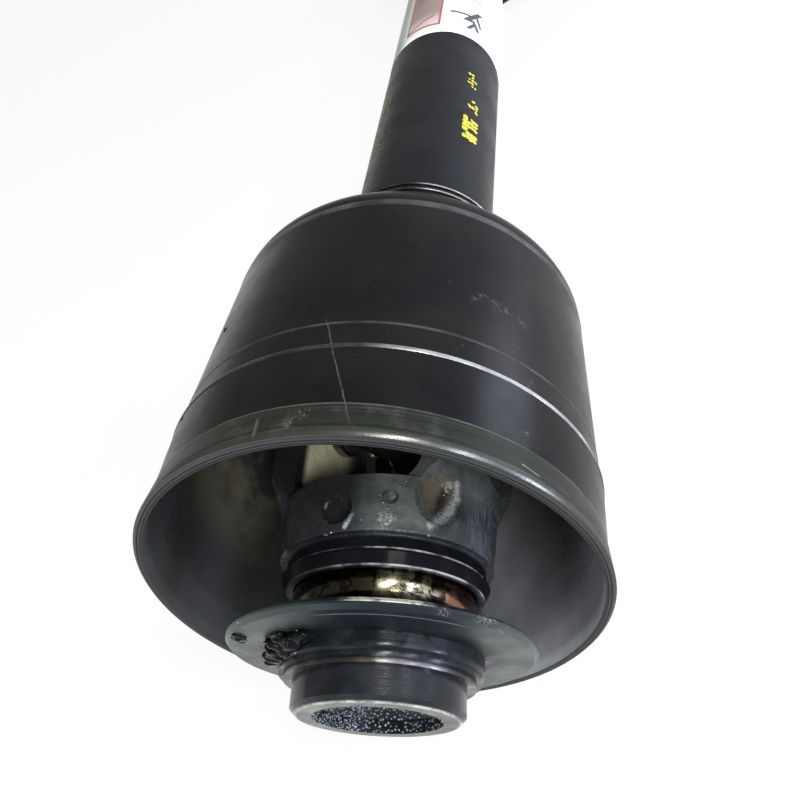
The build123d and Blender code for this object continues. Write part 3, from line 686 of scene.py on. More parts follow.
def hub_stroke(*row):
    """The mask of one mark between two places on the hub."""
    return use("stroke", Position=place, From=on_hub(*row[:3]), To=on_hub(*row[3:6]), Size=row[6] * MM)


colour = blend(hub_stroke(*HUB_SHADE) * 0.85, colour, (0.012, 0.010, 0.008))
torn = between(cloud(place, 1100, 4, 0.7), 0.38, 0.56, 0.25, 1.0)
# each stroke is a painted highlight
for ends in HUB_HIGHLIGHT_STROKES:
    colour = blend(hub_stroke(*ends) * torn, colour, (0.31, 0.34, 0.37))
specks = use("scuffs", Position=place, Scale=1500.0, Amount=0.95)
# each spot is a painted glint
for row in PAINTED_GLINTS:
    spot = use("spot", Position=place, Centre=on_hub(*row[:3]), Size=row[3] * MM)
    colour = blend(spot * specks, colour, (0.34, 0.38, 0.38))
# painted highlight arcs on the edges of the lip
for edge_along, edge_turn in LIP_EDGE_HIGHLIGHTS:
    edge = between(abs(along - edge_along * MM), 0.42 * MM, 0.10 * MM)
    edge *= between(cloud(place, 120, 3), 0.35, 0.6, 0.1, 1.0)
    edge *= between(radius, 32 * MM, 33 * MM)
    edge *= between(turned_by, edge_turn + 14, edge_turn, 0.12, 1.0)
    colour = blend(edge * 0.9, colour, (0.34, 0.34, 0.37))
marks = use("scuffs", Position=place, Scale=420.0, Amount=0.5)
colour = blend(marks * 0.3, colour, (0.14, 0.145, 0.15))
rough = between(cloud(place, 120, 4, 0.6), 0.3, 0.7, 0.16, 0.34) + face * 0.15
fill(shader, Base_Color=colour, Roughness=rough, Metallic=face * 0.55)
coat = between(cloud(place, 45, 3), 0.35, 0.6, 0.02, 0.22)
coat *= between(lip, 0, 1, 1.0, 0.1)
fill(shader, Coat_Weight=coat * between(forged, 0, 1, 1.0, 0.3))
fill(shader, Specular_IOR_Level=between(lip, 0, 1, 0.15, 0.02))
lumps = forged * cloud(place, 190, 4, 0.55)
skin = bump(shader, lumps, 0.9 * MM)
lathe = use("turned_lines", Along=along, From_Axis=radius, Density=2600.0)
turned = bump(shader, lathe * between(forged, 0, 1, 1.0, 0.0), 0.03 * MM, skin)
bump(shader, cloud(place, 900, 3), 0.02 * MM, turned)
print("hub steel:", len(shader.id_data.nodes), "nodes")

# %% [markdown]
# The collar and its disc are plain steel under a thin grey-blue film. The top of the
# rim carries a painted highlight, the sides of the disc a painted sheen, and the
# turned groove a painted highlight line. Nicks on the rim are partly wear and partly
# painted highlight, and old grease gathers round the root.

# %% Satin steel of the collars
DISC_R = 51.2 * MM
COLLAR_R = 34.0 * MM
RIM_HIGHLIGHT_ALONG = 91.2 * MM
GROOVE_R = 46.3 * MM
# the start and the end of each rounded edge along the hub
COLLAR_EDGES = ((98.0 * MM, 99.9 * MM), (100.4 * MM, 101.9 * MM))

shader, place = start_material("collar_steel", metallic=0.5, specular=0.15)
along, radius, around = use("place_on_hub", Position=place)
mottle = between(cloud(place, 55, 5, 0.6), 0.32, 0.7)
colour = blend(mottle, (0.011, 0.014, 0.019), (0.022, 0.026, 0.031))
sideways = abs(calc("COSINE", around + PHOTO_TURN))
on_disc = between(radius, COLLAR_R + 1.0 * MM, COLLAR_R + 9.0 * MM)
# painted sheen: the disc is lighter towards its left and right sides
painted_sheen_sides = on_disc * between(sideways, 0.25, 0.95)
colour = blend(painted_sheen_sides, colour, (0.072, 0.086, 0.086))
turned_by = calc("DEGREES", around + PHOTO_TURN)
on_rim = between(radius, DISC_R - 1.6 * MM, DISC_R - 1.2 * MM)
# painted highlight: a pale line on the top of the rim
back = between(abs(along - RIM_HIGHLIGHT_ALONG), 0.95 * MM, 0.60 * MM)
painted_rim_highlight = on_rim * (back * between(cloud(place, 300, 3), 0.35, 0.50, 0.3, 1.0))
painted_rim_highlight *= between(abs(turned_by - 92.0), 17, 8)
colour = blend(painted_rim_highlight, colour, (0.74, 0.75, 0.64))
# nicks on the right of the rim: partly wear, partly painted highlight
nicks_and_highlight = use("scuffs", Position=place, Scale=1100.0, Amount=0.9)
nicks_and_highlight = nicks_and_highlight * on_rim * between(turned_by, 80, 70)
nicks_and_highlight *= between(turned_by, 36, 50)
colour = blend(nicks_and_highlight, colour, (0.40, 0.43, 0.46))
# painted highlight: the turned groove is drawn pale, strongest away from the sides
groove_highlight = between(abs(radius - GROOVE_R), 0.40 * MM, 0.12 * MM)
groove_highlight *= between(sideways, 0.55, 0.35)
colour = blend(groove_highlight * 0.8, colour, (0.20, 0.22, 0.26))
root = between(radius, COLLAR_R + 5.0 * MM, COLLAR_R + 0.6 * MM)
root *= between(cloud(place, 130, 4), 0.42, 0.6)
colour = blend(root, colour, (0.010, 0.012, 0.015))
marks = use("scuffs", Position=place, Scale=380.0, Amount=0.45)
colour = blend(marks * 0.4, colour, (0.26, 0.29, 0.29))
rough = between(cloud(place, 90, 4, 0.6), 0.3, 0.7, 0.30, 0.46) - root * 0.2
fill(shader, Base_Color=colour, Roughness=rough)
lathe = use("turned_lines", Along=along, From_Axis=radius, Density=1800.0)
turned = bump(shader, lathe, 0.04 * MM)
fall = 0.0
for edge_start, edge_end in COLLAR_EDGES:
    past = calc("MAXIMUM", along - edge_start, 0.0) * calc("LESS_THAN", along, edge_end)
    fall += curved(past, EDGE_ROUND)
rolled = bump(shader, fall, 1.0 * MM, turned)
dents = bump(shader, cloud(place, 150, 3), 0.08 * MM, rolled)
bump(shader, marks, 0.04 * MM, dents)
print("collar steel:", len(shader.id_data.nodes), "nodes")

# %% [markdown]
# The sleeve over the spring is thin plated sheet. It mirrors its surroundings in
# gold and brown. Its colour is painted darker on the left, a painted shade, it is
# red-brown on the right with a darker patch, and dark oil runs over it in blots.

# %% Gold plated sleeve
COVER_MIDDLE = 77.5 * MM
COVER_BULGE = 0.045

shader, place = start_material("cover_plate", metallic=1.0)
along, radius, around = use("place_on_hub", Position=place)
mottle = between(cloud(place, 60, 4, 0.6), 0.35, 0.65)
colour = blend(mottle, (0.10, 0.094, 0.066), (0.34, 0.31, 0.21))
turned_by = calc("DEGREES", around + PHOTO_TURN)
# painted shade: the left side is darker; the right is red-brown
colour = blend(between(turned_by, 93, 102, 0.0, 0.9), colour, (0.030, 0.026, 0.016))
colour = blend(between(turned_by, 118, 128), colour, (0.045, 0.041, 0.032))
colour = blend(between(turned_by, 72, 60, 0.0, 0.9), colour, (0.20, 0.095, 0.070))
# a darker patch on the right
dark_patch_right = between(abs(turned_by - 61.0), 7, 3, 0.0, 0.90)
colour = blend(dark_patch_right, colour, (0.014, 0.010, 0.009))
blots = between(cloud(place, 210, 4, 0.6, 0.8), 0.50, 0.58)
colour = blend(blots * 0.9, colour, (0.012, 0.010, 0.008))
rough = between(cloud(place, 300, 3), 0.35, 0.65, 0.10, 0.24)
fill(shader, Base_Color=colour, Roughness=rough)
bulge = bump(shader, curved(along - COVER_MIDDLE, COVER_BULGE), 1.0 * MM)
bump(shader, cloud(place, 240, 3), 0.05 * MM, bulge)
print("cover plate:", len(shader.id_data.nodes), "nodes")

# %% [markdown]
# The pieces deeper inside are metals, rubber and one pale plastic. They differ in
# little but colour, shine and grease, so one function makes them all: a mottled
# colour, a film of grease laid over part of it and a fine relief. The circlip on
# the nose of the hub also gets a rounded crown.

# %% Finishes of the inner pieces
GREASE = (0.030, 0.024, 0.014)
CIRCLIP_MIDDLE = 102.3 * MM
CIRCLIP_REACH = 2 * MM
CIRCLIP_CROWN = 0.12


def inner_finish(name, dark, light, metallic, rough_low, rough_high, grease, relief):
    """A mottled finish with some grease on it."""
    shader, place = start_material(name, metallic=metallic)
    mottle = between(cloud(place, 95, 5, 0.6), 0.35, 0.68)
    colour = blend(mottle, dark, light)
    smear = between(cloud(place, 60, 4, 0.6, 0.5), 0.66 - 0.3 * grease, 0.74 - 0.3 * grease)
    colour = blend(smear * 0.85, colour, GREASE)
    marks = use("scuffs", Position=place, Scale=450.0, Amount=0.5)
    colour = blend(marks * 0.25, colour, (0.3, 0.3, 0.3))
    rough = between(cloud(place, 180, 4), 0.3, 0.7, rough_low, rough_high)
    fill(shader, Base_Color=colour, Roughness=rough, Coat_Weight=smear * 0.5)
    rounded = None
    if name == "spring_steel":
        past = use("place_on_hub", Position=place)[0] - CIRCLIP_MIDDLE
        past *= calc("LESS_THAN", abs(past), CIRCLIP_REACH)
        rounded = bump(shader, curved(past, CIRCLIP_CROWN), 1.0 * MM)
    bump(shader, cloud(place, 260, 4), relief * MM, rounded)
    print(name, len(shader.id_data.nodes), "nodes")


INNER = {
    # slot: dark and light, metallic, smoothest and roughest, grease, relief in mm
    "forged_steel": ((0.010, 0.011, 0.013), (0.026, 0.027, 0.030), 0.3, 0.30, 0.50, 0.6, 0.35),
    "bearing_steel": ((0.22, 0.22, 0.21), (0.42, 0.42, 0.41), 1.0, 0.16, 0.30, 0.5, 0.03),
    "spring_steel": ((0.05, 0.05, 0.055), (0.11, 0.11, 0.12), 0.9, 0.25, 0.42, 0.4, 0.03),
    "plated_steel": ((0.40, 0.38, 0.33), (0.58, 0.56, 0.50), 1.0, 0.22, 0.38, 0.4, 0.03),
    "tube_steel": ((0.16, 0.16, 0.16), (0.27, 0.27, 0.27), 0.9, 0.28, 0.46, 0.8, 0.06),
    "seal_rubber": ((0.014, 0.014, 0.014), (0.026, 0.026, 0.026), 0.0, 0.45, 0.65, 0.5, 0.05),
    "ring_plastic": ((0.55, 0.54, 0.49), (0.70, 0.69, 0.64), 0.0, 0.35, 0.50, 0.6, 0.03),
}
for name, recipe in INNER.items():
    inner_finish(name, *recipe)

# %% [markdown]
# The record lists which finish each solid has. The loop below gives each one the
# material of the same name, so no solid keeps its plain colour.

# %% Dress the solids
for entry in frame["record"]["subparts"]:
    dressed = nodes[entry["node"]]
    dressed.data.materials.clear()
    dressed.data.materials.append(finishes[entry["material_slot"]])

# %% [markdown]
# A piece of paper wrapped on a tube is a bent rectangle with a little thickness.
# It is built flat in rows and columns, each row bent onto the tube, with a UV map
# so that its print can be drawn by distance across and along the paper.

# %% Paper label
LABEL_START = 352.5 * MM
LABEL_LENGTH = 128.0 * MM
LABEL_FROM = -98.0
LABEL_TO = 96.0
LABEL_THICK = 0.12 * MM
LABEL_LIFT = 0.05 * MM
LABEL_COLUMNS = 64
LABEL_ROWS = 24
LABEL_SKEW = 1.5 * MM


def finished_mesh(name, build):
    """Turns a mesh under construction into a finished one."""
    mesh = bpy.data.meshes.new(name)
    build.to_mesh(mesh)
    build.free()
    return mesh


def finish_piece(name, mesh, body, material=None):
    """Makes a smooth piece from a mesh, riding on a body. A grown mesh has its material."""
    piece = bpy.data.objects.new(name, mesh)
    bpy.context.scene.collection.objects.link(piece)
    if material is not None:
        mesh.materials.clear()
        mesh.materials.append(finishes[material])
    for face in mesh.polygons:
        face.use_smooth = True
    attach(piece, body)
    print(name, "faces", len(mesh.polygons), "on", body)


def bent_sheet(columns, rows, place_of):
    """A closed thin sheet. place_of(u, v, lift) gives the point for lift 0 or 1."""
    sheet = bmesh.new()
    uv = sheet.loops.layers.uv.new("UVMap")
    grid = {}
    for lift in (0, 1):
        for row in range(rows + 1):
            for column in range(columns + 1):
                spot = place_of(column / columns, row / rows, lift)
                grid[column, row, lift] = sheet.verts.new(spot)
    places = [(c, r) for c in range(columns) for r in range(rows)]
    cells = [((c, r), (c + 1, r), (c + 1, r + 1), (c, r + 1)) for c, r in places]
    for cell in cells:
        for lift, ring in ((0, cell[::-1]), (1, cell)):
            face = sheet.faces.new([grid[c, r, lift] for c, r in ring])
            for loop, (c, r) in zip(face.loops, ring):
                loop[uv].uv = (c / columns, r / rows)
    edge = [(c, 0) for c in range(columns)] + [(columns, r) for r in range(rows)]
    edge += [(c, rows) for c in range(columns, 0, -1)] + [(0, r) for r in range(rows, 0, -1)]
    for (c, r), (c2, r2) in zip(edge, edge[1:] + edge[:1]):
        face = sheet.faces.new([grid[c, r, 0], grid[c2, r2, 0], grid[c2, r2, 1], grid[c, r, 1]])
        for loop, (cc, rr) in zip(face.loops, ((c, r), (c2, r2), (c2, r2), (c, r))):
            loop[uv].uv = (cc / columns, rr / rows)
    bmesh.ops.recalc_face_normals(sheet, faces=sheet.faces)
    return finished_mesh("sheet", sheet)


def label_point(u, v, lift):
    """A point of the label, by its share across and along."""
    turn = LABEL_FROM + (LABEL_TO - LABEL_FROM) * u
    radius = TUBE_R + LABEL_LIFT + LABEL_THICK * lift
    return on_shaft(LABEL_START + LABEL_LENGTH * v + LABEL_SKEW * (1 - u), radius, turn)


print("label %.0f mm long, %.0f degrees round" % (LABEL_LENGTH / MM, LABEL_TO - LABEL_FROM))

# %% [markdown]
# The paper is white, with painted grey-green shade where it turns away and more on
# the left. What was printed on the real label isn't copied. In its place stand a red
# frame with one slanted stroke on a grey-pink field that darkens along the label, a
# few dark strokes and two blocks of fine lines, all cut out with one group that gives
# a rectangle at a chosen place, size and slant.

# %% Label print
BAR_INPUTS = {"U": 0.0, "V": 0.0, "At U": 0.5, "At V": 0.5, "Half U": 0.1, "Half V": 0.1, "Slant": 0.0}
BAR_EDGE = 0.0006

given, result = start_group("bar", BAR_INPUTS, ["Mask"])
dv = given["V"] - given["At V"]
du = given["U"] - given["At U"] - dv * given["Slant"]
across = between(abs(du) - given["Half U"], BAR_EDGE, -BAR_EDGE)
fill(result, Mask=across * between(abs(dv) - given["Half V"], BAR_EDGE, -BAR_EDGE))

FRAME_OUTER = (0.338, 0.335, 0.100, 0.255)
FRAME_LINE = 0.013
STROKES = [
    # across, along, half width, half length, slant
    (0.605, 0.125, 0.012, 0.035, 0.5), (0.630, 0.150, 0.012, 0.050, -0.4),
    (0.545, 0.235, 0.062, 0.010, 0.0), (0.612, 0.240, 0.018, 0.070, 0.6),
    (0.645, 0.215, 0.010, 0.060, -0.3), (0.585, 0.180, 0.024, 0.010, 0.0),
]

shader, place = start_material("label_paper", specular=0.4)
u, v = parts(Wire(add(place.tree, "ShaderNodeUVMap")))[:2]


def drawn_bar(at_u, at_v, half_u, half_v, slant=0.0):
    """The mask of one printed bar."""
    return use("bar", U=u, V=v, At_U=at_u, At_V=at_v, Half_U=half_u, Half_V=half_v, Slant=slant)


stain = between(cloud(place, 40, 4, 0.6), 0.35, 0.7)
colour = blend(stain, (0.80, 0.88, 0.86), (0.88, 0.90, 0.88))
at_u, at_v, half_u, half_v = FRAME_OUTER
outer = drawn_bar(at_u, at_v, half_u, half_v)
inner = drawn_bar(at_u, at_v, half_u - FRAME_LINE, half_v - 1.4 * FRAME_LINE)
colour = blend(outer, colour, (0.42, 0.085, 0.120))
field = blend(between(v, 0.12, 0.26), (0.66, 0.54, 0.54), (0.30, 0.22, 0.21))
colour = blend(inner, colour, field)
slash = drawn_bar(at_u - 0.02, 0.15, 0.012, 0.05, 1.6) * inner
colour = blend(slash, colour, (0.25, 0.09, 0.09))
for stroke in STROKES:
    colour = blend(drawn_bar(*stroke), colour, (0.030, 0.045, 0.055))
rows = between(calc("FRACT", v * 34), 0.45, 0.55) * drawn_bar(0.735, 0.33, 0.022, 0.30)
colour = blend(rows * 0.45, colour, (0.42, 0.52, 0.62))
rows = between(calc("FRACT", v * 22), 0.50, 0.60) * drawn_bar(0.47, 0.66, 0.20, 0.24)
colour = blend(rows * 0.7, colour, (0.10, 0.11, 0.12))
# painted shade: the paper darkens to grey-green near both edges, where it turns away, and more on the left
painted_shade_edges = between(calc("MINIMUM", u, 1.0 - u), 0.16, 0.0)
colour = blend(painted_shade_edges * 0.75, colour, (0.30, 0.36, 0.32))
around = use("place_on_shaft", Position=place)[2]
painted_shade_left = between(calc("SINE", around - PHOTO_TURN), -0.72, -0.90, 0.0, 0.8)
colour = blend(painted_shade_left, colour, (0.24, 0.29, 0.265))
fill(shader, Base_Color=colour)
fill(shader, Roughness=between(stain, 0, 1, 0.38, 0.55))
bump(shader, cloud(place, 120, 3), 0.12 * MM)
label_mesh = bent_sheet(LABEL_COLUMNS, LABEL_ROWS, label_point)
finish_piece("paper_label", label_mesh, "near_guard", "label_paper")

# %% [markdown]
# Ink on a tube is a flat pattern rolled round it. Geometry Nodes make it in that
# order: a grid of points, a small dash on most of them, a random lean and size for
# each dash, and last every point bent from the flat onto the tube. The same tree
# makes the yellow marks and the faint ones on the other side. The shapes are plain
# dashes: the letters of the real ink aren't copied.

# %% Geometry Nodes helpers
def start_tree(name, inputs):
    """A new Geometry Nodes tree with named inputs of three kinds."""
    tree = bpy.data.node_groups.new(name, "GeometryNodeTree")
    tree.interface.new_socket("Geometry", in_out="INPUT", socket_type="NodeSocketGeometry")
    for kind, labels in inputs.items():
        for label in labels:
            tree.interface.new_socket(label, in_out="INPUT", socket_type="NodeSocket" + kind)
    tree.interface.new_socket("Geometry", in_out="OUTPUT", socket_type="NodeSocketGeometry")
    return (tree, *ends_of(tree))


def changed(kind, geometry, **values):
    """A geometry that has gone through one node."""
    new = geometry.tree.nodes.new("GeometryNode" + kind)
    fill(new, Geometry=geometry, **values)
    return Wire(new)


def spread(points, instance, **values):
    """Real copies of an instance on points."""
    new = points.tree.nodes.new("GeometryNodeInstanceOnPoints")
    fill(new, Points=points, Instance=instance, **values)
    return changed("RealizeInstances", Wire(new))


def random_value(kind, low, high, seed):
    """A random number or vector for each point."""
    new = add(seed.tree, "FunctionNodeRandomValue", data_type=kind)
    first = 2 if kind == "FLOAT" else 0
    set_input(new.inputs[first], low)
    set_input(new.inputs[first + 1], high)
    fill(new, Seed=seed)
    return Wire(new, first // 2)


def grown_mesh(tree, values, source=None):
    """Runs a tree with the given inputs on an object, and returns the plain mesh."""
    carrier = bpy.data.objects.new("carrier", source or bpy.data.meshes.new("carrier"))
    bpy.context.scene.collection.objects.link(carrier)
    modifier = carrier.modifiers.new("grow", "NODES")
    modifier.node_group = tree
    for item in tree.interface.items_tree:
        if item.in_out == "INPUT" and item.name in values:
            modifier[item.identifier] = values[item.name]
    view = bpy.context.evaluated_depsgraph_get()
    mesh = bpy.data.meshes.new_from_object(carrier.evaluated_get(view), depsgraph=view)
    carrier.modifiers.remove(modifier)
    bpy.data.objects.remove(carrier)
    return mesh


print("geometry helpers ready")

# %% [markdown]
# The ink's tree: the grid and the dashes, the random draws, and the bend.

# %% Ink marks tree
DASH_SIDES = 10
DASH_SHARE = 0.78
DASH_LEAN = 0.7

ink, given, result = start_tree("ink_marks", {
    "Int": ["Columns", "Rows", "Seed"],
    "Float": ["Pitch Across", "Pitch Along", "Dash Width", "Dash Length", "Dash Height",
              "Tube Radius", "Axis Height", "Start Along", "Start Turn"],
    "Material": ["Material"],
})
wide = given["Pitch Across"] * (given["Columns"] - 1)
long = given["Pitch Along"] * (given["Rows"] - 1)
grid = add(ink, "GeometryNodeMeshGrid", wide, long, given["Columns"], given["Rows"])
dash = add(ink, "GeometryNodeMeshCylinder", DASH_SIDES)
fill(dash, Radius=1.0, Depth=2.0)
size = joined(given["Dash Width"], given["Dash Length"], given["Dash Height"])
dash = changed("Transform", Wire(dash, "Mesh"), Scale=size)
keep = add(ink, "FunctionNodeRandomValue", data_type="BOOLEAN")
fill(keep, Probability=DASH_SHARE, Seed=given["Seed"])
lean = random_value("FLOAT_VECTOR", (0, 0, -DASH_LEAN), (0, 0, DASH_LEAN), given["Seed"] + 1)
grow = random_value("FLOAT_VECTOR", (0.7, 0.6, 1.0), (1.3, 1.3, 1.0), given["Seed"] + 2)
real = spread(Wire(grid, "Mesh"), dash, Selection=Wire(keep, 3), Rotation=lean, Scale=grow)
x, y, z = parts(Wire(add(ink, "GeometryNodeInputPosition")))
turn = x / given["Tube Radius"] + given["Start Turn"]
reach = z + given["Tube Radius"]
height = reach * calc("COSINE", turn) + given["Axis Height"]
bent = joined(reach * calc("SINE", turn), y + given["Start Along"], height)
rolled = changed("SetPosition", real, Position=bent)
fill(result, Geometry=changed("SetMaterial", rolled, Material=given["Material"]))
print("ink tree:", len(ink.nodes), "nodes")

# %% [markdown]
# Two inks, one bright and one faded, and the four blocks of marks drawn with them.

# %% Ink finishes and the marks
def ink_finish(name, first, second, rough):
    """Thin dry ink of an uneven colour."""
    shader, place = start_material(name, specular=0.3)
    patchy = between(cloud(place, 900, 3), 0.35, 0.65)
    fill(shader, Base_Color=blend(patchy, first, second))
    fill(shader, Roughness=between(patchy, 0, 1, rough, rough + 0.15))


ink_finish("yellow_ink", (0.50, 0.44, 0.03), (0.78, 0.70, 0.07), 0.45)
ink_finish("faded_ink", (0.060, 0.060, 0.036), (0.115, 0.110, 0.068), 0.45)
INK_HEIGHT = 0.03 * MM
INK_BLOCKS = [
    # name, columns, rows, pitch across and along, dash width and length, from mouth,
    # turn, seed, material
    ("ink_marks_upper", 3, 5, 2.1, 3.4, 0.9, 1.0, 303.0, 27.0, 3, "yellow_ink"),
    ("ink_marks_middle", 3, 4, 2.3, 3.2, 1.0, 1.6, 276.0, 30.0, 8, "yellow_ink"),
    ("ink_marks_lower", 4, 6, 2.2, 3.6, 1.4, 2.1, 251.5, 29.0, 5, "yellow_ink"),
    ("faded_marks", 3, 16, 2.4, 3.8, 1.1, 1.9, 266.0, -60.0, 4, "faded_ink"),
]
for name, columns, rows, across, along, width, length, start, turn, seed, material in INK_BLOCKS:
    mesh = grown_mesh(ink, {
        "Columns": columns, "Rows": rows, "Pitch Across": across * MM, "Pitch Along": along * MM,
        "Dash Width": width * MM, "Dash Length": length * MM, "Dash Height": INK_HEIGHT,
        "Tube Radius": TUBE_R + INK_HEIGHT, "Axis Height": AXIS_Z,
        "Start Along": start * MM - MOUTH_Y, "Start Turn": seen_at(turn),
        "Seed": seed, "Material": finishes[material],
    })
    finish_piece(name, mesh, "near_guard")

# %% [markdown]
# The step in the bell's side ends in a full rounded roll, a fine bead runs behind
# it, a broad low one softens the shoulder, and each rib of the neck has a rounded
# edge. They catch the light as arcs. A bead is a circle swept by a small oval. One
# tree lays a given number of them side by side, partly sunk in the wall.

# %% Rolled edges of the bells
RING_STEPS = 160
SECTION_STEPS = 16
EDGE_RINGS = [
    # name, count, pitch, half width, half height, first ring from the mouth, radius
    # of its middle, all in mm, finish
    ("step_roll", 1, 0.0, 0.95, 0.55, 36.4, 75.62, "polished_edge_and_highlight"),
    ("line_bead", 1, 0.0, 0.50, 0.16, 47.6, 74.74, "guard_plastic"),
    ("shoulder_bead", 1, 0.0, 1.60, 0.28, 115.4, 72.14, "guard_plastic"),
    ("neck_beads", 3, 4.0, 0.40, 0.35, 171.2, 40.10, "polished_edge_and_highlight"),
]

beads, given, result = start_tree("lip_beads", {
    "Int": ["Count"],
    "Float": ["Pitch", "Half Width", "Half Height", "Ring Radius", "Start", "Side", "Axis Height"],
    "Material": ["Material"],
})


def unit_circle(steps):
    """A circle of radius 1 with a number of steps."""
    new = beads.nodes.new("GeometryNodeCurvePrimitiveCircle")
    fill(new, Resolution=steps, Radius=1.0)
    return Wire(new)


upright = changed("Transform", unit_circle(RING_STEPS), Rotation=(math.pi / 2, 0, 0))
along = given["Start"] + Wire(beads.nodes.new("GeometryNodeInputIndex")) * given["Pitch"]
middle = joined(0.0, (along - MOUTH_Y) * given["Side"], given["Axis Height"])
line = changed("SetPosition", Wire(add(beads, "GeometryNodeMeshLine", given["Count"])), Position=middle)
real = spread(line, upright, Scale=given["Ring Radius"])
oval = joined(given["Half Height"], given["Half Width"], 1.0)
pressed = changed("Transform", unit_circle(SECTION_STEPS), Scale=oval)
swept = Wire(add(beads, "GeometryNodeCurveToMesh", real, pressed))
fill(result, Geometry=changed("SetMaterial", swept, Material=given["Material"]))

for name, count, pitch, half_width, half_height, start, middle_r, finish in EDGE_RINGS:
    for end, side in (("near", 1.0), ("far", -1.0)):
        if end == "far" and name == "neck_beads":
            continue
        mesh = grown_mesh(beads, {
            "Count": count, "Pitch": pitch * MM, "Half Width": half_width * MM,
            "Half Height": half_height * MM, "Ring Radius": middle_r * MM, "Start": start * MM,
            "Side": side, "Axis Height": AXIS_Z, "Material": finishes[finish],
        })
        finish_piece(end + "_" + name, mesh, end + "_guard")

# %% [markdown]
# Old grease sits in the angle between the disc and the collar as black shiny
# lumps. A lump is a ball with a noisy surface, pressed flat on what it sticks to.
# The few large ones are listed one by one, after the photograph.

# %% Grease lumps
LUMPS = [
    # along the hub, radius, turn seen in the photograph, size, flatness
    (96.3, 35.2, 136.0, 4.0, 0.55), (96.9, 34.9, 143.0, 4.8, 0.55), (97.3, 34.8, 152.0, 4.6, 0.55),
    (97.7, 34.8, 161.0, 4.2, 0.55), (98.1, 34.8, 169.0, 3.6, 0.55), (95.6, 37.0, 148.0, 4.2, 0.42),
    (95.8, 37.0, 158.0, 3.8, 0.42), (98.4, 34.8, 176.0, 2.8, 0.55),
    (94.3, 47.6, 164.0, 2.6, 0.45), (94.3, 46.4, 168.0, 1.8, 0.45),
]
LUMP_SUBDIVISIONS = 4

shader, place = start_material("black_grease", specular=0.08)
shade = between(cloud(place, 250, 3), 0.35, 0.65)
fill(shader, Base_Color=blend(shade, (0.0010, 0.0012, 0.0015), (0.0050, 0.0055, 0.0065)))
fill(shader, Roughness=between(shade, 0, 1, 0.05, 0.11))
bump(shader, cloud(place, 400, 2), 0.05 * MM)


def lumps_mesh(name, lumps):
    """Noisy flattened balls, each given by centre, outward direction, size, flatness, seed."""
    build = bmesh.new()
    for centre, outward, size, flatness, seed in lumps:
        ball = bmesh.ops.create_icosphere(build, subdivisions=LUMP_SUBDIVISIONS, radius=1.0)
        lay = outward.to_track_quat("Z", "Y").to_matrix()
        for vertex in ball["verts"]:
            ripple = 1.6 * noise.noise(vertex.co * 1.2 + Vector((seed, 0, 0)))
            ripple += 0.15 * noise.noise(vertex.co * 2.2 + Vector((0, seed, 0)))
            shape = vertex.co * (1 + 0.26 * ripple)
            shape.z *= flatness
            vertex.co = centre + lay @ (shape * size)
    return finished_mesh(name, build)


lumps = []
for number, (along, radius, turn, size, flatness) in enumerate(LUMPS):
    lumps.append((on_hub(along, radius, turn), OUTWARDS, size * MM, flatness, number * 3.7))
grease_mesh = lumps_mesh("collar_grease", lumps)
finish_piece("collar_grease", grease_mesh, "near_collar", "black_grease")

# %% [markdown]
# A few small burrs stand on the outline of the bell, left over from the mould.

# %% Burrs of the mould
BURRS = [
    # from the mouth, radius and turn seen in the photograph, size, flatness
    (118.5, 71.6, -24.0, 1.5, 0.5), (74.2, 73.6, -60.5, 1.1, 0.5), (34.3, 75.6, -64.5, 1.2, 0.5),
]
burrs = []
for number, (along, radius, turn, size, flatness) in enumerate(BURRS):
    centre = on_shaft(along * MM, radius * MM, turn)
    outward = centre - Vector((0, centre.y, AXIS_Z))
    burrs.append((centre, outward, size * MM, flatness, number * 2.3 + 40))
finish_piece("bell_burrs", lumps_mesh("bell_burrs", burrs), "near_guard", "guard_plastic")

# %% [markdown]
# Oil stands in small drops on the hub, in its bore and on the disc. A few hundred
# drops are scattered by Geometry Nodes on chosen faces of the solids. Each drop is
# a low ball with few faces, half sunk in the surface and turned to its normal.

# %% Oil drops tree
DROP_FLATNESS = 0.55

drops, given, result = start_tree("oil_drops", {
    "Float": ["Density", "Smallest", "Largest", "Apart"],
    "Int": ["Seed"],
    "Material": ["Material"],
})
scatter = add(drops, "GeometryNodeDistributePointsOnFaces", distribute_method="POISSON")
fill(scatter, Mesh=given["Geometry"], Distance_Min=given["Apart"], Density_Max=given["Density"])
fill(scatter, Seed=given["Seed"])
ball = Wire(add(drops, "GeometryNodeMeshIcoSphere", 1.0, 2))
low = changed("Transform", ball, Scale=(1.0, 1.0, DROP_FLATNESS))
span = random_value("FLOAT", given["Smallest"], given["Largest"], given["Seed"])
real = spread(Wire(scatter, "Points"), low, Rotation=Wire(scatter, "Rotation"), Scale=span)
fill(result, Geometry=changed("SetMaterial", real, Material=given["Material"]))

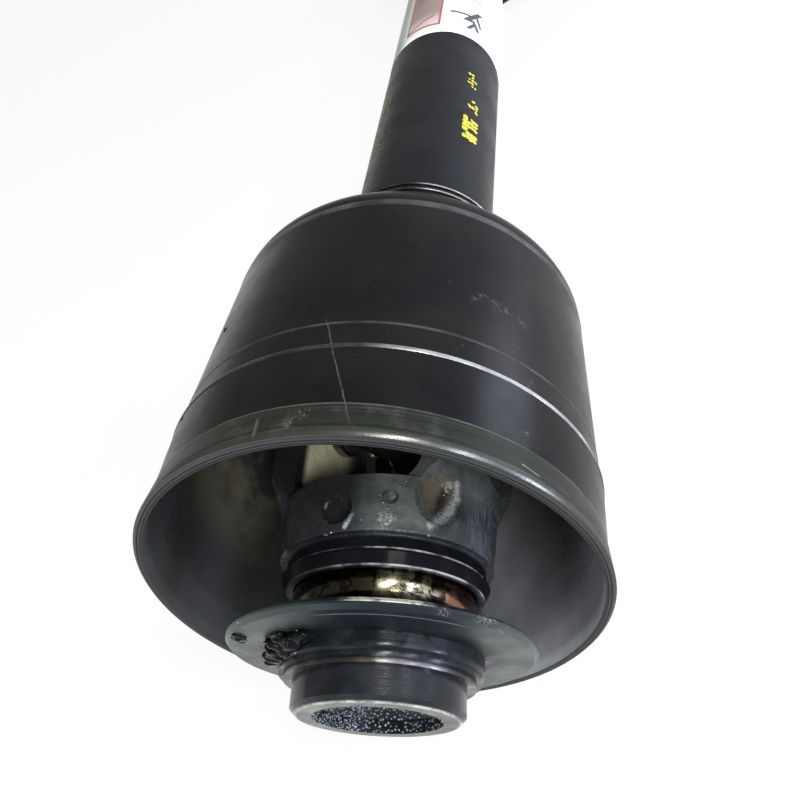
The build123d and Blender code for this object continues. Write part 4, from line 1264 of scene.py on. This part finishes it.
shader, place = start_material("oil", specular=0.7, coat_rough=0.03)
shade = between(cloud(place, 400, 2), 0.4, 0.6)
fill(shader, Base_Color=blend(shade, (0.040, 0.048, 0.066), (0.120, 0.135, 0.175)), Coat_Weight=1.0)
fill(shader, Roughness=between(shade, 0, 1, 0.03, 0.10))
print("drops tree:", len(drops.nodes), "nodes")

# %% [markdown]
# Each area names the solid, and says with a small test which of its faces get drops.

# %% Scatter the drops
def faces_of(node, wanted):
    """A mesh of the faces of a solid whose centre, in hub distances, is wanted."""
    part = bmesh.new()
    part.from_mesh(nodes[node].data)
    gone = []
    for face in part.faces:
        middle = face.calc_center_median() - JOINT
        along = middle.dot(OUTWARDS)
        rise = middle.dot(UPWARDS)
        turn = math.degrees(math.atan2(rise, middle.x) + PHOTO_TURN)
        if not wanted(along / MM, math.hypot(middle.x, rise) / MM, turn):
            gone.append(face)
    bmesh.ops.delete(part, geom=gone, context="FACES")
    return finished_mesh("drop_ground", part)


DROP_AREAS = [
    # name, node, body, slot, which faces, drops per square metre, smallest, largest, apart, seed
    ("bore_drops", "near_hub_yoke", "near_hub", "hub_steel",
     lambda along, radius, turn: along > 92 and radius < 21.3,
     700000, 0.22, 0.62, 0.8, 2),
    ("bore_spray", "near_hub_yoke", "near_hub", "hub_steel",
     lambda along, radius, turn: along > 98 and radius < 21.3 and (turn > 165 or turn < -95),
     1400000, 0.20, 0.52, 0.6, 9),
    ("fork_drops", "near_hub_yoke", "near_hub", "hub_steel",
     lambda along, radius, turn: 47 < along < 66 and radius > 30 and 50 < turn < 130,
     26000, 0.15, 0.50, 1.8, 5),
    ("disc_drops", "near_lock_collar", "near_collar", "collar_steel",
     lambda along, radius, turn: radius > 33 and 130 < turn < 200 and along > 93,
     30000, 0.18, 0.55, 2.0, 7),
]
for name, node, body, slot, wanted, density, smallest, largest, apart, seed in DROP_AREAS:
    mesh = grown_mesh(drops, {
        "Density": float(density), "Smallest": smallest * MM, "Largest": largest * MM,
        "Apart": apart * MM, "Seed": seed, "Material": finishes["oil"],
    }, faces_of(node, wanted))
    finish_piece(name, mesh, body)
